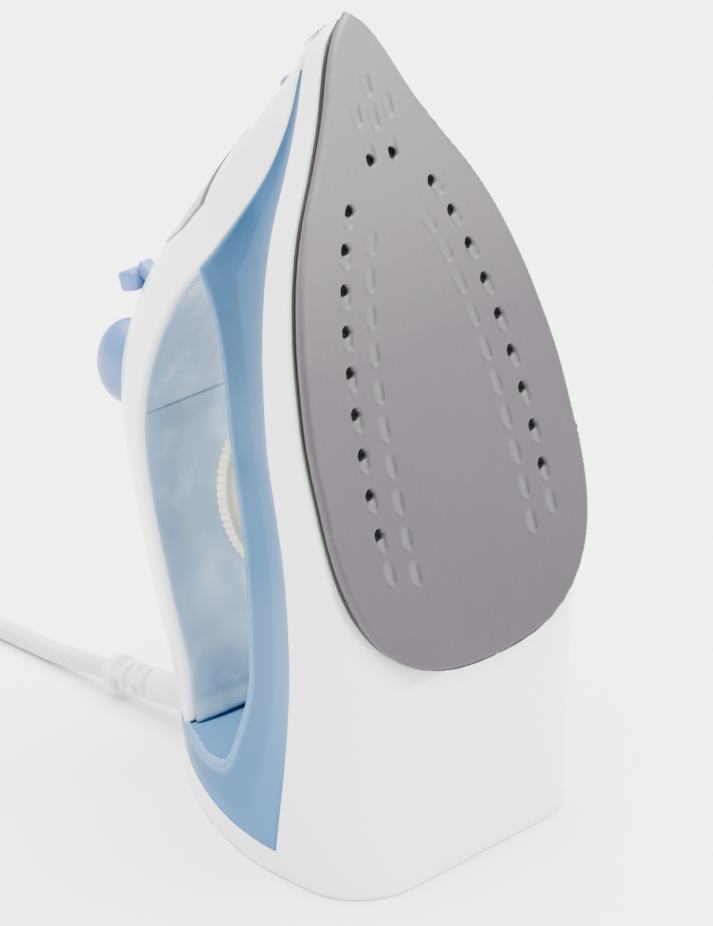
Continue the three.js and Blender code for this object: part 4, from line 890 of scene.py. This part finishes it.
def blue_piece():
    """Side skin from the belt to the rim of the opening, the shell and the heel's rim, a rounded
    lip round the opening, and the deck across from lip to lip."""
    n_nose, n_open, n_end = 90, 220, 30
    nose_s = np.linspace(st(0.93), OPENING_FRONT, n_nose)
    nose_w = shell_edge(nose_s) - GAP
    open_s, open_w = opening_line(n_open)
    end_w = mix(open_w[-1], crown(end_station(153.0)), np.linspace(0, 1, n_end)[1:])
    end_s = end_station(end_w) - GAP
    end_w[-1] = crown(end_s[-1])
    ns = np.array([-(np.gradient(open_w)), np.gradient(open_s)])
    ns /= np.hypot(*ns)
    ns *= np.where(ns[1][n_open // 3] > 0, -1, 1)
    lip = 2.6 * ease(np.linspace(0, 1, n_open), -0.0, 0.06) * (1 - ease(np.linspace(0, 1, n_open), 0.97, 1.02)) + 0.05
    top_s = np.concatenate([nose_s[:-1], open_s + ns[0] * lip, end_s])
    top_w = np.concatenate([nose_w[:-1], open_w + ns[1] * lip, end_w])
    rim_station = lambda z, w: (z - HEEL_DROP + w * SIN) / COS
    rim_z = HEEL_RIM + GAP
    turn_w = belt(-51.0)
    for _ in range(20):
        turn_w = belt(rim_station(rim_z, turn_w))
    back_w = crown(-25.0)
    for _ in range(20):
        back_w = crown(rim_station(rim_z, back_w))
    # lower line: belt, then the heel's rim, shared out against the upper line
    n = len(top_s)
    k = np.arange(n)
    marks_at = [0, n_nose - 1, n_nose - 1 + int(n_open * 0.60), n_nose - 1 + int(n_open * 0.80), n - n_end, n - 1]
    along = np.interp(k, marks_at, [0, 1, 2, 3, 3.7, 4])
    low_s = np.interp(along, [0, 1, 2, 3], [st(0.93), st(0.64), st(-0.02), rim_station(rim_z, turn_w)])
    low_w = np.where(along <= 3, belt(low_s) + GAP, mix(turn_w, back_w, along - 3))
    low_s = np.where(along <= 3, low_s, rim_station(rim_z, low_w))
    v = np.linspace(0, 1, 46)[None]
    v = v - 0.06 * np.sin(2 * math.pi * v)
    s, w = mix(low_s[:, None], top_s[:, None], v), mix(low_w[:, None], top_w[:, None], v)
    x = side_half(s, w)
    x[-1] = 0
    # crease: the upper side is drawn in a little above a line that runs to the nose
    lip_c = np.linspace(0, math.pi / 2, 8)[None]
    ls = open_s[:, None] + ns[0][:, None] * lip[:, None] * (1 - np.sin(lip_c))
    lw = open_w[:, None] + ns[1][:, None] * lip[:, None] * (1 - np.sin(lip_c))
    rim_x = x[n_nose - 1:n_nose - 1 + n_open, -1]
    lx = rim_x[:, None] - lip[:, None] * (1 - np.cos(lip_c))
    share = np.linspace(1, -1, 60)[None]
    dx = lx[:, -1:] * share
    dip = 1.2 * np.sin(np.clip(1 - np.abs(share), 0, 1) * math.pi / 2)
    ds = open_s[:, None] + ns[0][:, None] * dip
    dw = open_w[:, None] + ns[1][:, None] * dip
    # the lip's up mark runs to 1, where the tank's colour ramp paints a highlight along the rim of the opening
    ups = [np.broadcast_to(v, s.shape), np.broadcast_to(mix(0.97, 1.0, lip_c / 1.6), ls.shape)]
    deck_up = np.broadcast_to(0.35 + 0 * share, ds.shape)
    patches, up_marks, run_marks_ = [], [], []
    for e in (1, -1):
        patches += [world(e * x, w, s), world(e * lx, lw, ls)]
        up_marks += ups
        run_marks_ += [s / SOLE_LENGTH, ls / SOLE_LENGTH]
    patches.append(world(dx, dw, ds))
    up_marks.append(deck_up)
    # the deck's run mark is halved, so it takes the lighter end of the painted shade along the length
    run_marks_.append(np.clip(ds / SOLE_LENGTH, 0, 1) * 0.5)
    return piece("blue_tank", patches, tank_blue, "body", ["water_tank"], wall=1.6,
                 marks={"up": up_marks, "run": run_marks_}, closed=False)


blue_piece()


# ---------------------------------------------------------------- white top shell
def shell_low(s):
    return np.maximum(shell_edge(s), belt(s) + GAP)


def shell_piece():
    """Skin from one lower edge over the crown to the other, its edges rolled under by a small lip;
    stations lean back at the heel so that the skin ends on the slanting line."""
    p = np.concatenate([np.linspace(0, 0.92, 230), np.linspace(0.92, 1, 34)[1:]])
    q = np.linspace(0, 1, 60)
    q = 1 - (1 - q) ** 1.7
    lo = 2.2
    tip = st(0.985)
    first = shell_low(np.array([SHELL_END_LOW]))[0]
    level = mix(first, crown(end_station(152.0)), q)
    start = end_station(level)
    s = start[None] + p[:, None] * (tip - start[None])
    w = mix(shell_low(s) + lo * (1 - q[None]), crown(s), q[None])
    w = np.minimum(w, crown(s))
    x = side_half(s, w)
    x[:, -1] = 0
    c = np.linspace(0, math.pi / 2, 7)[None]
    r = np.minimum(lo, x[:, :1] * 0.5)
    lip_x = x[:, :1] - r * (1 - np.cos(c[:, ::-1]))[:, ::-1] * 1.0
    lip_w = w[:, :1] - r * np.sin(c)
    ledge = np.linspace(0, 1, 4)[None, 1:]
    under_x = mix(lip_x[:, -1:], np.maximum(0, lip_x[:, -1:] - 2.5), ledge)
    under_w = np.broadcast_to(lip_w[:, -1:], under_x.shape)
    all_x = np.concatenate([under_x[:, ::-1], lip_x[:, ::-1], x[:, 1:]], 1)
    all_w = np.concatenate([under_w[:, ::-1], lip_w[:, ::-1], w[:, 1:]], 1)
    all_s = np.concatenate([np.broadcast_to(s[:, :1], (len(p), 3 + 7)), s[:, 1:]], 1)
    thing = piece("white_shell", [world(e * all_x, all_w, all_s) for e in (1, -1)], white_gloss, "body",
                  ["top_shell"], wall=1.6, closed=False)
    return apply_modifiers(thing)


def on_crown(s, x, out, ahead):
    """Point given across, outwards and forwards from the crown at a station."""
    slope = (crown(s + 1) - crown(s - 1)) / 2
    size = math.hypot(1, slope)
    x, out, ahead = np.broadcast_arrays(x, out, ahead)
    return world(x, crown(s) + (out + slope * ahead) / size, s + (ahead - slope * out) / size)


def block_on_crown(s, x0, x1, o0, o1, a0, a1):
    """Closed box as one wrapped grid: its four sides with both ends drawn to the middle."""
    x = np.array([x0, x1, x1, x0])
    a = np.array([a0, a0, a1, a1])
    mid = lambda v: np.full(4, v.mean())
    grid = np.stack([on_crown(s, mid(x), o0, mid(a)), on_crown(s, x, o0, a), on_crown(s, x, o1, a),
                     on_crown(s, mid(x), o1, mid(a))])
    return [(grid, False, True)]


BUTTON_STATION, SLIDER_STATION = st(0.485), st(0.622)
DOOR_REAR, DOOR_FRONT, DOOR_HALF = st(0.685), st(0.845), 14.5
DOOR_TONGUE, PIN_STATION = 3.2, DOOR_FRONT - 1.5
BUTTON_HALF, BUTTON_RISE, BUTTON_LENGTH = 11.5, 13.0, 32.0


def oval_on_crown(s, half_x, half_a, low, high, steps=64):
    """Upright oval post standing on the crown."""
    a = np.arange(steps) * 2 * math.pi / steps
    r = np.array([0, 1, 1, 0])[:, None]
    o = np.array([low, low, high, high])[:, None]
    return [(on_crown(s, r * half_x * np.cos(a), o, r * half_a * np.sin(a)), False, True)]


def door_cut(grow):
    """Upright prism of the door's plan, a little larger all round."""
    right = np.array([[DOOR_HALF * 0.72, DOOR_REAR - grow], [DOOR_HALF, DOOR_REAR + 5], [DOOR_HALF, DOOR_REAR + 13],
                      [DOOR_TONGUE + 1.6, PIN_STATION - 5.0], [DOOR_TONGUE, PIN_STATION - 4.4],
                      [DOOR_TONGUE, DOOR_FRONT + grow]])
    x = np.concatenate([right[:, 0] + grow, -right[::-1, 0] - grow])
    s = np.concatenate([right[:, 1], right[::-1, 1]])
    low = np.interp(s, [DOOR_REAR, DOOR_FRONT], [crown(DOOR_REAR) - 24, crown(DOOR_FRONT) - 12])
    high = low + 60
    middle = lambda v: np.full(len(x), v.mean())
    grid = np.stack([world(middle(x), middle(low), middle(s)), world(x, low, s), world(x, high, s),
                     world(middle(x), middle(high), middle(s))])
    return [(grid, False, True)]


shell = shell_piece()
carve(shell, [
    oval_on_crown(BUTTON_STATION, BUTTON_HALF + 0.5, BUTTON_LENGTH / 2 + 0.5, -12, 30),
    block_on_crown(SLIDER_STATION, -4, 4, -15, 15, -9.5, 3.5),
    door_cut(0.35),
    oval_on_crown(st(0.91), 4.3, 4.3, -15, 15),
])


# ---------------------------------------------------------------- pale lining under the grip
def lining(name, start, end, stands_for, bulge, marks_seam=0.0):
    """Band under the handle from lip to lip, swelling down in the middle."""
    s = np.linspace(start, end, 120)[:, None]
    share = np.linspace(-1, 1, 48)[None]
    level = shell_edge(s) + 1.2 - 1.9 * (1 - ease(s, SHELL_END_LOW, SHELL_END_LOW + 7))
    half = side_half(s, shell_edge(s) + 2.2) - 2.4
    fade = ease(s, start - 1, start + 10) * (1 - ease(s, end - 10, end + 1)) * 0.5 + 0.5
    w = level - bulge * fade * (1 - share**2) ** 0.8
    return piece(name, [world(half * share, w, np.broadcast_to(s, w.shape))], grip_blue, "body", stands_for,
                 wall=1.8, closed=False)


def lining_finish():
    """Pale see-through blue over darker ribs: soft dark bands from behind, clouded, very glossy."""
    n = Nodes("grip_blue")
    cloud = n.noise(22, 3, (1.0, 1.0, 0.45))
    fine = n.noise(60, 4)
    base = n.ramp(cloud, [(0.30, (0.06, 0.13, 0.22)), (0.42, (0.15, 0.25, 0.37)), (0.58, (0.24, 0.36, 0.48)),
                          (0.7, (0.42, 0.55, 0.68))])
    base = n.blend(base, (0.60, 0.72, 0.82), n.range(fine, 0.0, 0.35, 0.5, 0.8))
    n.set(Base_Color=base, Roughness=0.15, Specular_IOR_Level=0.12, IOR=1.42)
    n.bump(n.noise(120, 2), 1.2e-4, 0.5)
    return n.material


grip_blue = lining_finish()
lining("grip_lining", SHELL_END_LOW - 0.6, st(0.43) - 0.3, ["grip_underside"], 3.5)
lining("neck_lining", st(0.43), OPENING_FRONT - 1.0, ["handle_neck"], 2.5)


# ---------------------------------------------------------------- dial
DIAL_STATION, DIAL_TOP, DIAL_R = st(0.27), 85.5, 31.0


def dial_piece():
    """Disc turned about the spindle: knurled rim as rounded teeth, tapered underside, a shallow
    dished top with a raised finger bar."""
    a = np.arange(720) * 2 * math.pi / 720
    tooth = np.abs(np.sin(a * 36)) ** 0.7
    profile = rounded([[3.3, -9.5], [22, -10.5], [28.5, -5.2], [DIAL_R, -4.6], [DIAL_R, 0], [26.5, 0], [24.5, -1.0],
                       [3, -0.6]], 0.5, 4)
    profile = np.vstack([[0, -9.5], profile, [0, -0.6]])
    r, h = profile.T
    knurl = ease(r, DIAL_R - 1.6, DIAL_R - 0.4)[:, None] * (tooth[None] - 1) * 0.8
    rr = r[:, None] + knurl
    bar = np.exp(-((rr * np.cos(a)) / 3.2) ** 6) * ease(24 - rr, 0, 3) * (h[:, None] > -1.2) * 3.2
    return piece("heat_dial", [(world(rr * np.cos(a), DIAL_TOP + h[:, None] + bar, DIAL_STATION + rr * np.sin(a)),
                                False, True)], cream, "dial", ["temperature_dial"])


dial_piece()


# ---------------------------------------------------------------- buttons and slider
def button_piece(side, word):
    """Half of a long dome standing on a plain skirt, closed by a flat face beside its twin."""
    fi = np.linspace(0, math.pi / 2, 26)
    out = np.concatenate([[-7, -7], 13.0 * np.sin(fi) ** 0.95])
    rr = np.concatenate([[0, 1], np.cos(fi) ** 0.9])
    a = np.linspace(-math.pi / 2, math.pi / 2, 49)
    x = side * (0.15 + (BUTTON_HALF - 0.15) * rr[:, None] * np.cos(a))
    ahead = BUTTON_LENGTH / 2 * rr[:, None] * np.sin(a)
    o = np.broadcast_to(out[:, None], x.shape)
    dome = on_crown(BUTTON_STATION, x, o, ahead)
    flat = np.stack([dome[:, 0], dome[:, -1]], 1)
    return piece(word + "_dome", [dome, flat], button_blue, word, [word + "_button"], bevel=0.5)


button_piece(-1, "spray")
button_piece(1, "steam")


def slider_piece():
    """Thumb tab: rounded block that stands out of the handle, on a neck through the slot."""
    base = crown(SLIDER_STATION)
    x = np.array([-6, 6, 6, -6.0])
    u = SLIDER_STATION + np.array([-3.6, -3.6, 3.6, 3.6])
    w = [base + 4.8, base + 13.2]
    mid = lambda v: np.full(4, v.mean())
    tab = np.stack([world(mid(x), w[0], mid(u)), world(x, w[0], u), world(x * 0.96, w[1], u), world(mid(x), w[1], mid(u))])
    thing = piece("slider_tab", [(tab, False, True)], button_blue, "slider", ["steam_slider"],
                  bevel=1.6)
    neck = piece("slider_neck", block_on_crown(SLIDER_STATION, -2.6, 2.6, -6.5, 6.5, -2.4, 2.4), button_blue,
                 "slider", [], bevel=0.3)
    return thing, neck


slider_piece()


# ---------------------------------------------------------------- filler door and nozzle
def clear_finish():
    """Smoke-clear moulded plastic, with a cool grey core and a polished face."""
    n = Nodes("smoke_clear")
    border = n.ramp(n.noise(60, 2), [(0.3, (0.10, 0.10, 0.105)), (0.7, (0.20, 0.20, 0.205))])
    n.set(Base_Color=n.blend(border, (0.022, 0.022, 0.023), n.attribute("sunk")), Roughness=0.1,
          Coat_Weight=0.15, Coat_Roughness=0.04, IOR=1.38)
    n.bump(n.noise(500, 2), 1e-5)
    return n.material


smoke_clear = clear_finish()


def door_piece():
    """Plate that follows the nose and narrows to a tongue round its pin, with a raised border,
    a sunk field and a finger notch at its rear."""
    low, high = DOOR_REAR + 0.3, DOOR_FRONT - 0.4
    s = np.linspace(low, high, 110)[:, None]
    share = np.linspace(-1, 1, 49)[None]
    half = np.interp(s, [DOOR_REAR, DOOR_REAR + 5, DOOR_REAR + 13, PIN_STATION - 5.6, PIN_STATION - 5, DOOR_FRONT],
                     [DOOR_HALF * 0.72, DOOR_HALF, DOOR_HALF, DOOR_TONGUE + 1.6, DOOR_TONGUE, DOOR_TONGUE]) - 0.25
    x = half * share
    w = top_height(s, x) + 0.1
    run = (s - low) / (high - low)
    border = half * (1 - np.abs(share))
    inside = ease(border, 1.3, 2.6) * ease(run, 0.07, 0.14) * (1 - ease(run, 0.74, 0.82))
    notch = np.exp(-((run - 0.13) / 0.07) ** 4) * np.exp(-(share / 0.5) ** 4)
    w = w + 0.5 * (1 - inside) - 0.7 * inside - 1.0 * notch
    return piece("filler_flap", [world(x, w, np.broadcast_to(s, w.shape))], smoke_clear, "door", ["filler_door"],
                 wall=1.5, marks={"sunk": [np.broadcast_to(inside, w.shape)]}, closed=False)


door_piece()
r = rounded([[0, -4], [4, -4], [4, 0.6], [0.9, 0.9], [0.8, -1.5], [0, -1.5]], 0.5)
nozzle_r, nozzle_h = r.T
a = np.arange(48) * 2 * math.pi / 48
piece("spray_tip", [(on_crown(st(0.91), nozzle_r[:, None] * np.cos(a), nozzle_h[:, None], nozzle_r[:, None] * np.sin(a)),
                     False, True)], pale_blue, "body", ["spray_nozzle"])

# ---------------------------------------------------------------- finishes of the inner pieces
FINISHES = {
    "cast_aluminium": bare_metal("cast_aluminium", (0.45, 0.45, 0.46), 0.55, scale=300),
    "element_steel": bare_metal("element_steel", (0.3, 0.28, 0.27), 0.45),
    "seal_rubber": moulded("seal_rubber", (0.4, 0.1, 0.06), 0.7),
    "cover_aluminium": bare_metal("cover_aluminium", (0.6, 0.6, 0.61), 0.35),
    "dark_plastic": dark_plastic,
    "white_gloss": white_gloss,
    "white_matte": white_matte,
    "blue_clear": tank_blue,
    "pale_blue": pale_blue,
    "smoke_clear": smoke_clear,
    "pin_steel": steel,
    "cream_plastic": cream,
    "brown_plastic": moulded("brown_plastic", (0.1, 0.05, 0.03), 0.5),
    "fuse_brass": bare_metal("fuse_brass", (0.7, 0.6, 0.4), 0.35),
    "nylon": nylon,
    "button_blue": button_blue,
    "spring_steel": bare_metal("spring_steel", (0.65, 0.65, 0.65), 0.25, scale=2000),
    "amber_lens": moulded("amber_lens", (0.8, 0.32, 0.08), 0.12, coat=0.8),
    "screw_steel": bare_metal("screw_steel", (0.5, 0.5, 0.52), 0.3, scale=1500),
    "relief_plastic": relief_white,
    "sheath_plastic": moulded("sheath_plastic", (0.7, 0.7, 0.69), 0.5),
    "wire_brown": moulded("wire_brown", (0.15, 0.06, 0.03), 0.45),
    "wire_blue": moulded("wire_blue", (0.04, 0.12, 0.4), 0.45),
    "woven_lead": braid,
    "plug_plastic": plug_plastic,
    "plug_metal": plated,
    "sole_metal": sole_metal,
}
for entry in frame["record"]["subparts"]:
    node = frame["nodes"][entry["node"]]
    node.data.materials.clear()
    node.data.materials.append(FINISHES[entry["material_slot"]])

# ---------------------------------------------------------------- floor and light
floor_mesh = bpy.data.meshes.new("floor")
floor_mesh.from_pydata([(-6, -6, -0.0006), (6, -6, -0.0006), (6, 6, -0.0006), (-6, 6, -0.0006)], [], [(0, 1, 2, 3)])
floor = bpy.data.objects.new("floor", floor_mesh)
bpy.context.scene.collection.objects.link(floor)
paper = Nodes("paper_floor")
paper.set(Base_Color=paper.ramp(paper.noise(3, 2), [(0.3, (0.90, 0.895, 0.905)), (0.7, (0.92, 0.915, 0.925))]),
          Roughness=0.7)
floor_mesh.materials.append(paper.material)

sky = bpy.data.worlds.new("studio")
sky.use_nodes = True
sky.node_tree.nodes["Background"].inputs["Color"].default_value = (1, 1, 1, 1)
sky.node_tree.nodes["Background"].inputs["Strength"].default_value = 0.7
bpy.context.scene.world = sky


def soft_light(name, place, aim, size, power):
    """Square area light at a place, turned to its aim."""
    data = bpy.data.lights.new(name, "AREA")
    data.shape = "SQUARE"
    data.size = size
    data.energy = power
    lamp = bpy.data.objects.new(name, data)
    bpy.context.scene.collection.objects.link(lamp)
    lamp.location = place
    lamp.rotation_mode = "QUATERNION"
    lamp.rotation_quaternion = (Vector(aim) - Vector(place)).to_track_quat("-Z", "Y")


soft_light("top", (0.2, 0.2, 3.0), (0, 0.1, 0), 5.0, 860)
soft_light("front", (1.3, -2.3, 1.4), (0, 0, 0.14), 2.0, 70)
